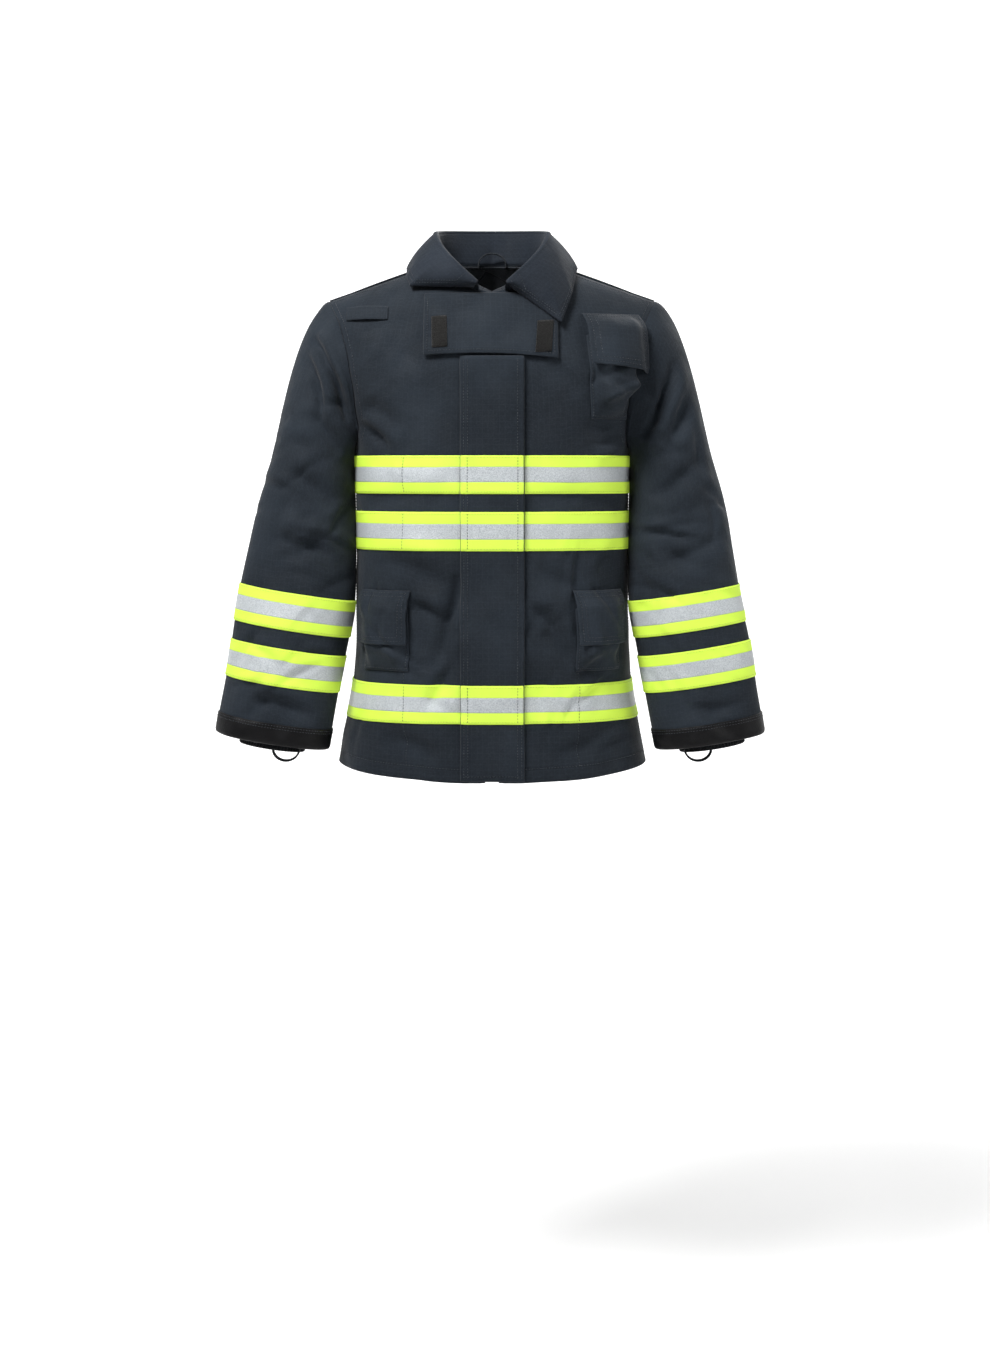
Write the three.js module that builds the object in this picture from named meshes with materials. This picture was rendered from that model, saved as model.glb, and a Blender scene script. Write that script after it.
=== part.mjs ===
// Turnout coat: an outer shell with a thermal liner, folded collar, throat tab, storm flap over a front
// zipper, radio pocket, two lower pockets, reflective bands and knit wristlets.
// Millimetres, +Z up. The front faces -Y and the wearer's left side is +X.
// Heights are measured up from the front hem; the finished coat is then moved to its hanger loop.

import * as THREE from 'three';

const { clamp, lerp, degToRad } = THREE.MathUtils;

const LEFT = 1;
const RIGHT = -1;
const FRONT = -1;
const BACK = 1;

// Coat body
const HALF_WIDTH = [
  [0, 218], [80, 203], [130, 194], [180, 188], [330, 185], [450, 186], [475, 190], [540, 212], [580, 224], [651, 245],
];
const FRONT_HEM_DEPTH = 142;
const FRONT_CHEST_DEPTH = 134;
const CHEST_Z = 565;
const FRONT_DEPTH = [[0, FRONT_HEM_DEPTH], [CHEST_Z, FRONT_CHEST_DEPTH], [620, 124], [655, 112], [700, 98]];
const BACK_DEPTH = [[0, 138], [130, 128], [330, 122], [450, 126], [560, 126], [655, 112], [700, 96]];
const SQUARENESS = 2.6;
const HEM_SIDE_RISE = 15;
const SHELL = 2.5;
const LINER_GAP = 2;
const LINER = 4;
const SEAM_GAP = 0.5;

// Shoulders, neck and armholes
const SHOULDER_TIP_X = 224;
const SHOULDER_TIP_Z = 651;
const SHOULDER_SLOPE = 0.344;
const SHOULDER_ROUND = 160;
const NECK_HALF = 72;
const NECK_FRONT_Z = 655;
const NECK_BACK_Z = 705;
const NECK_AXIS_Y = -22;
const ARMPIT_Z = 450;
const ARMHOLE_X = [
  [450, 186], [458, 183], [475, 181], [500, 184], [540, 190], [580, 197], [620, 208], [651, SHOULDER_TIP_X],
];
const ARMHOLE_GAP = 3;
const ROWS_TO_ARMPIT = [0, 80, 130, 180, 330, 450].map((z) => z / ARMPIT_Z);
const ROWS_ABOVE_ARMPIT = [0.04, 0.12, 0.24, 0.38, 0.52, 0.66, 0.78, 0.88, 1].map((part) => 1 + part);
const FRONT_COLUMNS = [0, 0.125, 0.25, 0.375, 0.5, 0.625, 0.75, 0.875, 1];
const LINER_COLUMNS = [0.075, ...FRONT_COLUMNS.slice(1)];
const PANEL_ROWS = [...ROWS_TO_ARMPIT, ...ROWS_ABOVE_ARMPIT];

// Sleeves: middle of the section, and its half sizes, by height
const SLEEVE_X = [[50, 301], [122, 288], [245, 266], [348, 256], [441, 246]];
const SLEEVE_Y = [[50, -75], [122, -68], [245, -52], [348, -30], [441, -10]];
const SLEEVE_HALF_WIDTH = [[50, 77], [122, 77], [245, 79], [348, 70], [441, 56]];
const SLEEVE_HALF_DEPTH = [[50, 50], [245, 56], [348, 64], [441, 74]];
const SLEEVE_LEAN = degToRad(9);
const SLEEVE_TOP_Z = 441;
const CAP_LIFT = new THREE.Vector3(43, 0, -10);
const CAP_ROWS = 5;
const ELBOW_Z = 330;
const ELBOW_GAP = 2;
const CUFF_TOP_Z = 77;
const SLEEVE_END_Z = 51;
const AROUND_SLEEVE = 16;

// Reflective bands, each [lower edge, upper edge]
const BODY_BANDS = { chest_upper: [388, 438], chest_lower: [312, 363], hem: [80, 131] };
const SLEEVE_BANDS = { upper: [203, 252], lower: [128, 177] };
const FOREARM_ROWS = [ELBOW_Z - ELBOW_GAP / 2, 252, 203, 177, 128, SLEEVE_END_Z + 1];
const BAND_GAP = 1.5;
const BAND = 1.2;

// Front closure
const PANEL_EDGE = 10;
const STORM_FLAP = { hingeX: -40, freeX: 41, low: 3, high: 567, under: 5.5, over: 8 };
const HOOK_STRIP = { inner: 12, outer: 30 };
const ZIP_LOW = 18;
const ZIP_HIGH = 562;
const ZIP_CHAIN_HALF = 3;

// Collar and throat tab
const FOLD_RADIUS_X = 74;
const FOLD_RADIUS_Y = 84;
const FOLD_SWEEP = degToRad(165);
const FOLD_BACK_Z = 750;
const FOLD_SIDE_Z = 740;
const FOLD_FRONT_Z = 668;
const WING_START = 0.6;
const COLLAR_CORNER = { [RIGHT]: [105, 662], [LEFT]: [88, 614] };
const THROAT_TAB = { half: 88, low: 571, high: 655, under: 4.8, over: 7.4 };

// Pockets, on the front, by distance from the middle and height
const RADIO_POCKET = { inner: 129, outer: 174, low: 487, mouth: 597, depth: 28 };
const RADIO_FLAP = { inner: 119, outer: 195, low: 546, high: 628 };
const LOWER_POCKET = { inner: 113, outer: 170, low: 149, mouth: 232, depth: 16 };
const LOWER_FLAP = { inner: 109, outer: 172, low: 183, high: 257 };
const POCKET_WALL = 2.5;

// Hanger loop inside the back of the neck; its top is the coat's origin
const HANGER = new THREE.Vector3(0, 34, 720);

const COLOURS = {
  shell: [0x343c45, 0.85, 0],
  liner: [0x2c3a5c, 0.9, 0],
  collar: [0x323a43, 0.85, 0],
  band: [0xdcf53c, 0.55, 0],
  cuff: [0x16171a, 0.6, 0],
  knit: [0x17181b, 0.95, 0],
  hook: [0x2d2b26, 0.95, 0],
  zipper: [0x22262b, 0.7, 0],
  brass: [0x9a8a5c, 0.35, 1],
};

const coat = new THREE.Group();

function addPiece(name, geometry, kind) {
  const [color, roughness, metalness] = COLOURS[kind];
  const material = new THREE.MeshStandardMaterial({ color, roughness, metalness });
  const mesh = new THREE.Mesh(geometry, material);
  mesh.name = name;
  coat.add(mesh);
}

// Reads a value from a short list of [position, value] stations.
function profile(stations, at) {
  let k = 1;
  while (k < stations.length - 1 && at > stations[k][0]) k += 1;
  const [from, low] = stations[k - 1];
  const [to, high] = stations[k];
  return lerp(low, high, clamp((at - from) / (to - from), 0, 1));
}

// A closed solid between two layers of a grid: point(u, v, layer) gives layer 0 and layer 1.
// With wrap, the last column joins the first and the solid is a tube with open ends.
function slab(point, columns, rows, wrap = false) {
  const us = Array.isArray(columns) ? columns : Array.from({ length: columns + 1 }, (_, i) => i / columns);
  const vs = Array.isArray(rows) ? rows : Array.from({ length: rows + 1 }, (_, j) => j / rows);
  const across = wrap ? us.length - 1 : us.length;
  const positions = [];
  for (const layer of [0, 1]) {
    for (const v of vs) {
      for (const u of us.slice(0, across)) positions.push(...point(u, v, layer).toArray());
    }
  }
  const at = (layer, i, j) => (layer * vs.length + j) * across + (i % across);
  const faces = [];
  const quad = (a, b, c, d) => faces.push(a, b, c, a, c, d);
  for (let i = 0; i < us.length - 1; i += 1) {
    for (let j = 0; j < vs.length - 1; j += 1) {
      quad(at(1, i, j), at(1, i + 1, j), at(1, i + 1, j + 1), at(1, i, j + 1));
      quad(at(0, i, j), at(0, i, j + 1), at(0, i + 1, j + 1), at(0, i + 1, j));
    }
    quad(at(0, i, 0), at(0, i + 1, 0), at(1, i + 1, 0), at(1, i, 0));
    quad(at(1, i, vs.length - 1), at(1, i + 1, vs.length - 1), at(0, i + 1, vs.length - 1), at(0, i, vs.length - 1));
  }
  for (let j = 0; j < vs.length - 1 && !wrap; j += 1) {
    const last = us.length - 1;
    quad(at(1, 0, j), at(1, 0, j + 1), at(0, 0, j + 1), at(0, 0, j));
    quad(at(0, last, j), at(0, last, j + 1), at(1, last, j + 1), at(1, last, j));
  }
  return facingOut(positions, faces);
}

// Turns every face round when the solid's signed volume says that they point inwards.
function facingOut(positions, faces) {
  const corner = (k) => new THREE.Vector3().fromArray(positions, faces[k] * 3);
  let volume = 0;
  for (let k = 0; k < faces.length; k += 3) {
    volume += corner(k).dot(corner(k + 1).cross(corner(k + 2)));
  }
  const geometry = new THREE.BufferGeometry();
  geometry.setAttribute('position', new THREE.Float32BufferAttribute(positions, 3));
  geometry.setIndex(volume < 0 ? faces.slice().reverse() : faces);
  return geometry;
}

function shoulderHeight(x) {
  return SHOULDER_TIP_Z + (SHOULDER_TIP_X - Math.abs(x)) * SHOULDER_SLOPE;
}

// A point on the coat's outer surface, or `out` millimetres outside it.
function bodyPoint(face, x, z, out = 0) {
  const halfWidth = profile(HALF_WIDTH, z);
  const depth = profile(face === FRONT ? FRONT_DEPTH : BACK_DEPTH, z);
  const across = Math.min(Math.abs(x) / halfWidth, 1);
  const round = (1 - across ** SQUARENESS) ** (1 / SQUARENESS);
  const below = clamp((shoulderHeight(x) - z) / SHOULDER_ROUND, 0, 1);
  const crown = Math.sqrt(1 - (1 - below) ** 2);
  const y = face * (SEAM_GAP / 2 + (depth + out) * round * crown);
  return new THREE.Vector3(x + Math.sign(x) * across * out, y, z + (1 - crown) * out);
}

function armholeX(z) {
  return z <= ARMPIT_Z ? profile(HALF_WIDTH, z) : profile(ARMHOLE_X, z);
}

// Top edge of a panel: the shoulder seam, or the neckline between the neck's two sides.
function panelTop(face, x) {
  const fromMiddle = Math.abs(x) / NECK_HALF;
  if (fromMiddle >= 1) return shoulderHeight(x);
  const middle = face === FRONT ? NECK_FRONT_Z : NECK_BACK_Z;
  return lerp(middle, shoulderHeight(NECK_HALF), fromMiddle ** 2);
}

// A point on a panel, s across it from `edge` to the side seam or armhole. Up the panel, t is 0 at the hem,
// 1 at the armpit's height and 2 at the shoulder or neckline.
function panelPoint(face, edge, side, s, t, out) {
  const top = panelTop(face, lerp(edge, SHOULDER_TIP_X, s));
  const z = t < 1 ? lerp(HEM_SIDE_RISE * s * s, ARMPIT_Z, t) : lerp(ARMPIT_Z, top, t - 1);
  return bodyPoint(face, side * lerp(edge, armholeX(z), s), z, out);
}

function frontPanel(side, inner, outer, columns) {
  const point = (u, v, layer) => panelPoint(FRONT, PANEL_EDGE, side, u, v, layer ? outer : inner);
  return slab(point, columns, PANEL_ROWS);
}

function backPanel(inner, outer, columns) {
  const point = (u, v, layer) => {
    const s = 2 * u - 1;
    return panelPoint(BACK, 0, s < 0 ? RIGHT : LEFT, Math.abs(s), v, layer ? outer : inner);
  };
  return slab(point, columns, PANEL_ROWS);
}

// Middle, width and lean of the sleeve at a height, for one side. Angle 0 is the outer side, 90 the front.
function sleevePoint(side, angle, z, out = 0) {
  const across = Math.cos(angle) * (profile(SLEEVE_HALF_WIDTH, z) + out);
  const along = Math.sin(angle) * (profile(SLEEVE_HALF_DEPTH, z) + out);
  const x = profile(SLEEVE_X, z) + across * Math.cos(SLEEVE_LEAN);
  return new THREE.Vector3(side * x, profile(SLEEVE_Y, z) - along, z + across * Math.sin(SLEEVE_LEAN));
}

// The armhole's edge, seen as a ring: angle 0 is the shoulder tip and 180 the armpit.
function armholePoint(side, angle, out = 0) {
  const middle = (SHOULDER_TIP_Z + ARMPIT_Z) / 2;
  const z = middle + ((SHOULDER_TIP_Z - ARMPIT_Z) / 2) * Math.cos(angle);
  const face = Math.sin(angle) >= 0 ? FRONT : BACK;
  const point = bodyPoint(face, side * armholeX(z), z, out);
  point.x += side * (ARMHOLE_GAP - out);
  return point;
}

// The cap turns the ring of the armhole into the sleeve's top section.
function capPoint(side, angle, k, out) {
  const start = armholePoint(side, angle, out);
  const lift = CAP_LIFT.clone().multiplyScalar((1 + Math.cos(angle)) / 2);
  lift.x *= side;
  const bend = start.clone().add(lift);
  const end = sleevePoint(side, angle, SLEEVE_TOP_Z, out);
  return new THREE.QuadraticBezierCurve3(start, bend, end).getPoint(k);
}

function tube(side, inner, outer, heights) {
  const point = (u, z, layer) => sleevePoint(side, u * 2 * Math.PI, z, layer ? outer : inner);
  return slab(point, AROUND_SLEEVE, heights, true);
}

// Upper sleeve: the cap, then straight rings down to the elbow.
function upperSleeve(side, inner, outer) {
  const rings = CAP_ROWS + 2;
  const point = (u, v, layer) => {
    const out = layer ? outer : inner;
    const ring = Math.round(v * rings);
    const angle = u * 2 * Math.PI;
    if (ring <= CAP_ROWS) return capPoint(side, angle, ring / CAP_ROWS, out);
    const bottom = ELBOW_Z + ELBOW_GAP / 2;
    return sleevePoint(side, angle, lerp(SLEEVE_TOP_Z, bottom, (ring - CAP_ROWS) / 2), out);
  };
  return slab(point, AROUND_SLEEVE, rings, true);
}

// A strip lying on one face of the body, between two distances from the middle and two heights.
function strip(face, side, inner, outer, low, high, under, over, columns = 1, rows = 1) {
  const point = (u, v, layer) => {
    const z = lerp(low, high, v);
    return bodyPoint(face, side * lerp(inner, outer, u), z, layer ? over : under);
  };
  return slab(point, columns, rows);
}

function addShell() {
  addPiece('back_panel', backPanel(-SHELL, 0, 14), 'shell');
  for (const [side, name] of [[RIGHT, 'right'], [LEFT, 'left']]) {
    addPiece(`front_panel_${name}`, frontPanel(side, -SHELL, 0, FRONT_COLUMNS), 'shell');
    addPiece(`upper_sleeve_${name}`, upperSleeve(side, -SHELL, 0), 'shell');
    addPiece(`forearm_sleeve_${name}`, tube(side, -SHELL, 0, FOREARM_ROWS), 'shell');
    addPiece(`cuff_${name}`, tube(side, BAND_GAP, BAND_GAP + BAND, [CUFF_TOP_Z, SLEEVE_END_Z]), 'cuff');
  }
}

// Quilted thermal liner, lying just inside the shell.
function addLiner() {
  const over = -SHELL - LINER_GAP;
  const under = over - LINER;
  addPiece('thermal_liner_back', backPanel(under, over, 14), 'liner');
  for (const [side, name] of [[RIGHT, 'right'], [LEFT, 'left']]) {
    addPiece(`thermal_liner_front_${name}`, frontPanel(side, under, over, LINER_COLUMNS), 'liner');
    addPiece(`thermal_liner_upper_sleeve_${name}`, upperSleeve(side, under, over), 'liner');
    addPiece(`thermal_liner_forearm_${name}`, tube(side, under, over, FOREARM_ROWS.slice(0, -1)), 'liner');
  }
}

// Knit wristlet: a funnel sewn inside the sleeve, a snug tube and a thumb loop below it.
function addWristlet(side, name) {
  const top = 132;
  const neck = 96;
  const bottom = 42;
  const section = (z) => {
    const snug = clamp((top - z) / (top - neck), 0, 1);
    return [lerp(66, 44, snug), lerp(38, 34, snug)];
  };
  const point = (u, v, layer) => {
    const z = profile([[0, top], [0.4, neck], [1, bottom]], v);
    const [halfWidth, halfDepth] = section(z);
    const angle = u * 2 * Math.PI;
    const thick = layer ? 0 : -2.5;
    const across = Math.cos(angle) * (halfWidth + thick);
    const x = profile(SLEEVE_X, z) + across;
    const y = profile(SLEEVE_Y, z) - Math.sin(angle) * (halfDepth + thick);
    return new THREE.Vector3(side * x, y, z + across * Math.sin(SLEEVE_LEAN));
  };
  addPiece(`wristlet_${name}`, slab(point, 14, [0, 0.4, 1], true), 'knit');

  const middleX = profile(SLEEVE_X, bottom) - 22;
  const middleY = profile(SLEEVE_Y, bottom) - 31;
  const reach = 17;
  const strap = (u, v, layer) => {
    const angle = u * Math.PI;
    const radius = reach + (layer ? 2 : 0);
    const x = middleX - Math.cos(angle) * radius;
    const y = middleY + lerp(-2, 8, v);
    return new THREE.Vector3(side * x, y, bottom - 1.5 - Math.sin(angle) * (radius - 2));
  };
  addPiece(`thumb_loop_${name}`, slab(strap, 10, 1), 'knit');
}

function addBands() {
  for (const [band, [low, high]] of Object.entries(BODY_BANDS)) {
    const row = (face, edge, s, v, side, layer) => {
      const z = lerp(low, high, v);
      return bodyPoint(face, side * lerp(edge, armholeX(z), s), z, BAND_GAP + (layer ? BAND : 0));
    };
    for (const [side, name] of [[RIGHT, 'right'], [LEFT, 'left']]) {
      const edge = side === LEFT ? HOOK_STRIP.outer + 2 : -STORM_FLAP.hingeX + 0.5;
      const first = (edge - PANEL_EDGE) / (armholeX(low) - PANEL_EDGE);
      const columns = [first, 0.25, 0.375, 0.5, 0.625, 0.75, 0.875, 1];
      const point = (u, v, layer) => row(FRONT, PANEL_EDGE, u, v, side, layer);
      addPiece(`${band}_band_front_${name}`, slab(point, columns, 1), 'band');
    }
    const point = (u, v, layer) => row(BACK, 0, Math.abs(2 * u - 1), v, u < 0.5 ? RIGHT : LEFT, layer);
    addPiece(`${band}_band_back`, slab(point, 14, 1), 'band');
  }
  for (const [band, [low, high]] of Object.entries(SLEEVE_BANDS)) {
    for (const [side, name] of [[RIGHT, 'right'], [LEFT, 'left']]) {
      addPiece(`sleeve_${band}_band_${name}`, tube(side, BAND_GAP, BAND_GAP + BAND, [high, low]), 'band');
    }
  }
}

function addStormFlap() {
  const { hingeX, freeX, low, high, under, over } = STORM_FLAP;
  addPiece('storm_flap', strip(FRONT, LEFT, hingeX, freeX, low, high, under, over, 4, 6), 'shell');
  for (const [band, [bottom, top]] of Object.entries(BODY_BANDS)) {
    const tape = strip(FRONT, LEFT, hingeX + 1, freeX - 1, bottom, top, over + 0.6, over + 1.8, 4, 1);
    addPiece(`storm_flap_${band}_tape`, tape, 'band');
  }
  const { inner, outer } = HOOK_STRIP;
  const loopSide = strip(FRONT, LEFT, inner, outer, low + 15, high - 10, under - 2.5, under - 1.2, 1, 6);
  addPiece('storm_flap_loop_strip', loopSide, 'hook');
  addPiece('front_hook_strip', strip(FRONT, LEFT, inner, outer, low + 15, high - 10, 0.4, 1.8, 1, 6), 'hook');
}

function addZipper() {
  for (const [side, name] of [[RIGHT, 'right'], [LEFT, 'left']]) {
    const tape = strip(FRONT, side, ZIP_CHAIN_HALF + 0.3, PANEL_EDGE - 0.4, ZIP_LOW, ZIP_HIGH, -1.8, -0.6, 1, 4);
    addPiece(`zipper_tape_${name}`, tape, 'zipper');
  }
  const half = ZIP_CHAIN_HALF;
  addPiece('zipper_chain', strip(FRONT, LEFT, -half, half, ZIP_LOW, ZIP_HIGH, -2.2, 0, 1, 4), 'brass');
  addPiece('zipper_slider', strip(FRONT, LEFT, -5, 5, 545, 558, 0.4, 2.6), 'brass');
  addPiece('zipper_pull', strip(FRONT, LEFT, -4, 4, 512, 543, 0.6, 2.2), 'brass');
}

// The collar's fold line: q is 0 at the middle of the back and 1 at the front end.
function foldPoint(side, q) {
  const angle = q * FOLD_SWEEP;
  const sideAt = Math.PI / 2 / FOLD_SWEEP;
  const falling = clamp((q - sideAt) / (1 - sideAt), 0, 1);
  const z = q < sideAt
    ? lerp(FOLD_BACK_Z, FOLD_SIDE_Z, (q / sideAt) ** 2)
    : lerp(FOLD_SIDE_Z, FOLD_FRONT_Z, falling ** 1.2);
  return new THREE.Vector3(side * FOLD_RADIUS_X * Math.sin(angle), NECK_AXIS_Y + FOLD_RADIUS_Y * Math.cos(angle), z);
}

function necklinePoint(side, q) {
  const angle = q * FOLD_SWEEP;
  const face = angle > Math.PI / 2 ? FRONT : BACK;
  const x = NECK_HALF * Math.sin(angle);
  return bodyPoint(face, side * x, panelTop(face, x), 0);
}

function awayFromNeck(point) {
  return new THREE.Vector3(point.x, point.y - NECK_AXIS_Y, 0).normalize();
}

// The collar's loose edge, from the middle of the back, round the corner, to the front end.
function collarEdge(side, q) {
  const [cornerX, cornerZ] = COLLAR_CORNER[side];
  const stations = [
    [0, bodyPoint(BACK, 0, 697, 10)],
    [0.3, bodyPoint(BACK, side * 76, 689, 9)],
    [0.52, bodyPoint(FRONT, side * 113, 686, 12)],
    [0.66, bodyPoint(FRONT, side * lerp(113, cornerX, 0.5), lerp(686, cornerZ, 0.5), 15)],
    [0.8, bodyPoint(FRONT, side * cornerX, cornerZ, 16)],
    [1, bodyPoint(FRONT, side * 24, 661, 12)],
  ];
  const read = (axis) => profile(stations.map(([at, point]) => [at, point[axis]]), q);
  return new THREE.Vector3(read('x'), read('y'), read('z'));
}

// A point on the turned-down collar: v is 0 at the fold and 1 at the loose edge.
function fallPoint(side, q, v, layer) {
  const fold = foldPoint(side, q);
  const away = awayFromNeck(fold);
  const start = fold.clone().addScaledVector(away, 5);
  const point = start.lerp(collarEdge(side, q), v).addScaledVector(away, 24 * v * (1 - v) * 0.8);
  const thick = away.clone().setZ(1).normalize();
  return point.addScaledVector(thick, layer ? 1.5 : -1.5);
}

function addCollar() {
  const stand = (u, v, layer) => {
    const s = 2 * u - 1;
    const side = s < 0 ? RIGHT : LEFT;
    const fold = foldPoint(side, Math.abs(s));
    const foot = necklinePoint(side, Math.abs(s));
    foot.z += 1.5;
    const away = awayFromNeck(fold);
    return foot.lerp(fold, v).addScaledVector(away, layer ? 1.5 : -1.5);
  };
  addPiece('collar_stand', slab(stand, 20, 2), 'collar');

  const back = (u, v, layer) => {
    const s = (2 * u - 1) * (WING_START - 0.01);
    return fallPoint(s < 0 ? RIGHT : LEFT, Math.abs(s), v, layer);
  };
  addPiece('collar_back_fall', slab(back, 14, 3), 'collar');
  for (const [side, name] of [[RIGHT, 'right'], [LEFT, 'left']]) {
    const wing = (u, v, layer) => fallPoint(side, u, v, layer);
    addPiece(`collar_wing_${name}`, slab(wing, [WING_START, 0.66, 0.73, 0.8, 0.9, 1], 3), 'collar');
  }
}

function addThroatTab() {
  const { half, low, high, under, over } = THROAT_TAB;
  addPiece('throat_tab', strip(FRONT, LEFT, -half, half, low, high, under, over, 6, 5), 'shell');
  addPiece('throat_hook_patch_right', strip(FRONT, RIGHT, 57, 76, 581, 622, over + 0.5, over + 1.6, 1, 2), 'hook');
  addPiece('throat_hook_patch_left', strip(FRONT, LEFT, 56, 78, 575, 616, over + 0.5, over + 1.6, 1, 2), 'hook');
}

// How far a pocket stands off the coat: nothing at its sewn sides and bottom, and its full depth at the mouth.
function pocketSwell(depth, u, v) {
  const fromSides = clamp(4 * Math.min(u, 1 - u), 0, 1);
  const fromBottom = clamp(2.5 * v, 0, 1);
  return depth * Math.sin((fromSides * Math.PI) / 2) * Math.sin((fromBottom * Math.PI) / 2);
}

function pocketBag(side, { inner, outer, low, mouth, depth }) {
  const point = (u, v, layer) => {
    const out = 1.4 + pocketSwell(depth, u, v) + (layer ? POCKET_WALL : 0);
    return bodyPoint(FRONT, side * lerp(inner, outer, u), lerp(low, mouth, v), out);
  };
  return slab(point, [0, 0.12, 0.25, 0.5, 0.75, 0.88, 1], 5);
}

// A flap lies over the pocket's mouth: on the coat along its top edge, then over the swollen front.
function pocketFlap(side, bag, { inner, outer, low, high }) {
  const point = (u, v, layer) => {
    const fromTop = clamp((1 - v) * 3.4, 0, 1);
    const fromSides = clamp(3.2 * Math.min(u, 1 - u), 0, 1);
    const over = (bag.depth + POCKET_WALL + 2) * Math.sin((fromTop * Math.PI) / 2) * (0.4 + 0.6 * fromSides);
    const out = 2.5 + over + (layer ? POCKET_WALL : 0);
    return bodyPoint(FRONT, side * lerp(inner, outer, u), lerp(low, high, v), out);
  };
  return slab(point, [0, 0.15, 0.31, 0.5, 0.69, 0.85, 1], 5);
}

function addPockets() {
  addPiece('radio_pocket', pocketBag(LEFT, RADIO_POCKET), 'shell');
  addPiece('radio_pocket_flap', pocketFlap(LEFT, RADIO_POCKET, RADIO_FLAP), 'shell');
  for (const [side, name] of [[RIGHT, 'right'], [LEFT, 'left']]) {
    addPiece(`lower_pocket_${name}`, pocketBag(side, LOWER_POCKET), 'shell');
    addPiece(`lower_pocket_flap_${name}`, pocketFlap(side, LOWER_POCKET, LOWER_FLAP), 'shell');
  }
  const insideBag = (u, v, layer) => {
    const out = -SHELL - LINER_GAP - LINER - 2 - pocketSwell(14, u, v) - (layer ? 0 : 1.5);
    return bodyPoint(FRONT, lerp(60, 150, u), lerp(300, 430, v), out);
  };
  addPiece('liner_pocket', slab(insideBag, [0, 0.12, 0.25, 0.5, 0.75, 0.88, 1], 4), 'liner');
}

// Microphone tab: a short strap sewn at both ends, standing off the chest between them.
function addMicTab() {
  const point = (u, v, layer) => {
    const swell = 3.5 * Math.sin(u * Math.PI);
    const out = 2 + swell + (layer ? 1.8 : 0);
    return bodyPoint(FRONT, -lerp(142, 197, u), lerp(620, 637, v), out);
  };
  addPiece('mic_tab', slab(point, 8, 1), 'shell');
}

function addHangerLoop() {
  const path = new THREE.CatmullRomCurve3([
    new THREE.Vector3(-20, HANGER.y + 2, HANGER.z - 19),
    new THREE.Vector3(-15, HANGER.y, HANGER.z - 6),
    new THREE.Vector3(0, HANGER.y, HANGER.z),
    new THREE.Vector3(15, HANGER.y, HANGER.z - 6),
    new THREE.Vector3(20, HANGER.y + 2, HANGER.z - 19),
  ]);
  const section = new THREE.Shape();
  section.moveTo(-2, -1);
  section.lineTo(2, -1);
  section.lineTo(2, 1);
  section.lineTo(-2, 1);
  section.closePath();
  const loop = new THREE.ExtrudeGeometry(section, { steps: 14, extrudePath: path });
  addPiece('hanger_loop', loop, 'shell');
}

addShell();
addLiner();
addWristlet(RIGHT, 'right');
addWristlet(LEFT, 'left');
addBands();
addStormFlap();
addZipper();
addCollar();
addThroatTab();
addPockets();
addMicTab();
addHangerLoop();

coat.position.copy(HANGER).negate();

export default coat;
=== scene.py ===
"""A firefighter's turnout coat: cloth, tapes, collar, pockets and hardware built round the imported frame."""

import math

import bpy
import numpy as np
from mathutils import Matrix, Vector


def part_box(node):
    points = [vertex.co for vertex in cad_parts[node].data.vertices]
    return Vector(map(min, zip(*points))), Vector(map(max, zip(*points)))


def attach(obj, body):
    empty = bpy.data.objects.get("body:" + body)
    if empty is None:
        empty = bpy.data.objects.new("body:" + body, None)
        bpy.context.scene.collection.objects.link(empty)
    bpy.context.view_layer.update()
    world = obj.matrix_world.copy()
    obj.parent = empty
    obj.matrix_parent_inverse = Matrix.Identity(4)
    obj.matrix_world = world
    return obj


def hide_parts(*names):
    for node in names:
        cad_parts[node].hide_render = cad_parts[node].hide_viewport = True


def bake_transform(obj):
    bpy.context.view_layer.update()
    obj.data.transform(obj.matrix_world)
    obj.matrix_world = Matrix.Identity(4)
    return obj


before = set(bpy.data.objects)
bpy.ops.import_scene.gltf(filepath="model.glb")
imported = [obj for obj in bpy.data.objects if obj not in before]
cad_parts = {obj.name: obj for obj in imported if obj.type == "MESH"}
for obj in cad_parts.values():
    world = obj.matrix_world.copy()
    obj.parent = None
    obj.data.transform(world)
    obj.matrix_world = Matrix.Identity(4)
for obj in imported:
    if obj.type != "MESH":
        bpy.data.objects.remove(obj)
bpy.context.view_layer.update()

# Lengths are in millimetres in the coat's own axes.
# x goes to the wearer's left, -y to the front, and z up from the hem.
ORIGIN = np.array([0.0, 34.0, 720.0])
MM = 0.001
SIDES = {"right": -1, "left": 1}
FRONT, BACK = -1, 1
SEED = 11

# Body
SQUARENESS = 2.6
HEM_SIDE_RISE = 15.0
SHELL = 2.2
LINER_TOP = -4.5
LINER_LOW = -8.0
SHOULDER_TIP_X = 224.0
SHOULDER_TIP_Z = 651.0
SHOULDER_SLOPE = 0.344
SHOULDER_ROUND = 160.0
NECK_HALF = 72.0
NECK_FRONT_Z = 655.0
NECK_BACK_Z = 705.0
NECK_AXIS_Y = -22.0
ARMPIT_Z = 450.0
# The doubled cloth round the zipper lies flat this far from the middle, and then takes on its folds.
CLOSURE_FLAT, CLOSURE_EASE = 14.0, 36.0
ARMHOLE_GAP = 1.3
PANEL_EDGE = 10.0

# Sleeves
SLEEVE_TOP_Z = 441.0
SLEEVE_END_Z = 51.0
SLEEVE_LEAN = math.radians(9)
SLEEVE_SPLIT_Z = 330.0
SLEEVE_STEP = 4.0
CAP_ROWS = 30
CAP_LIFT = np.array([43.0, 0.0, -10.0])
AROUND = 120

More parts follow.
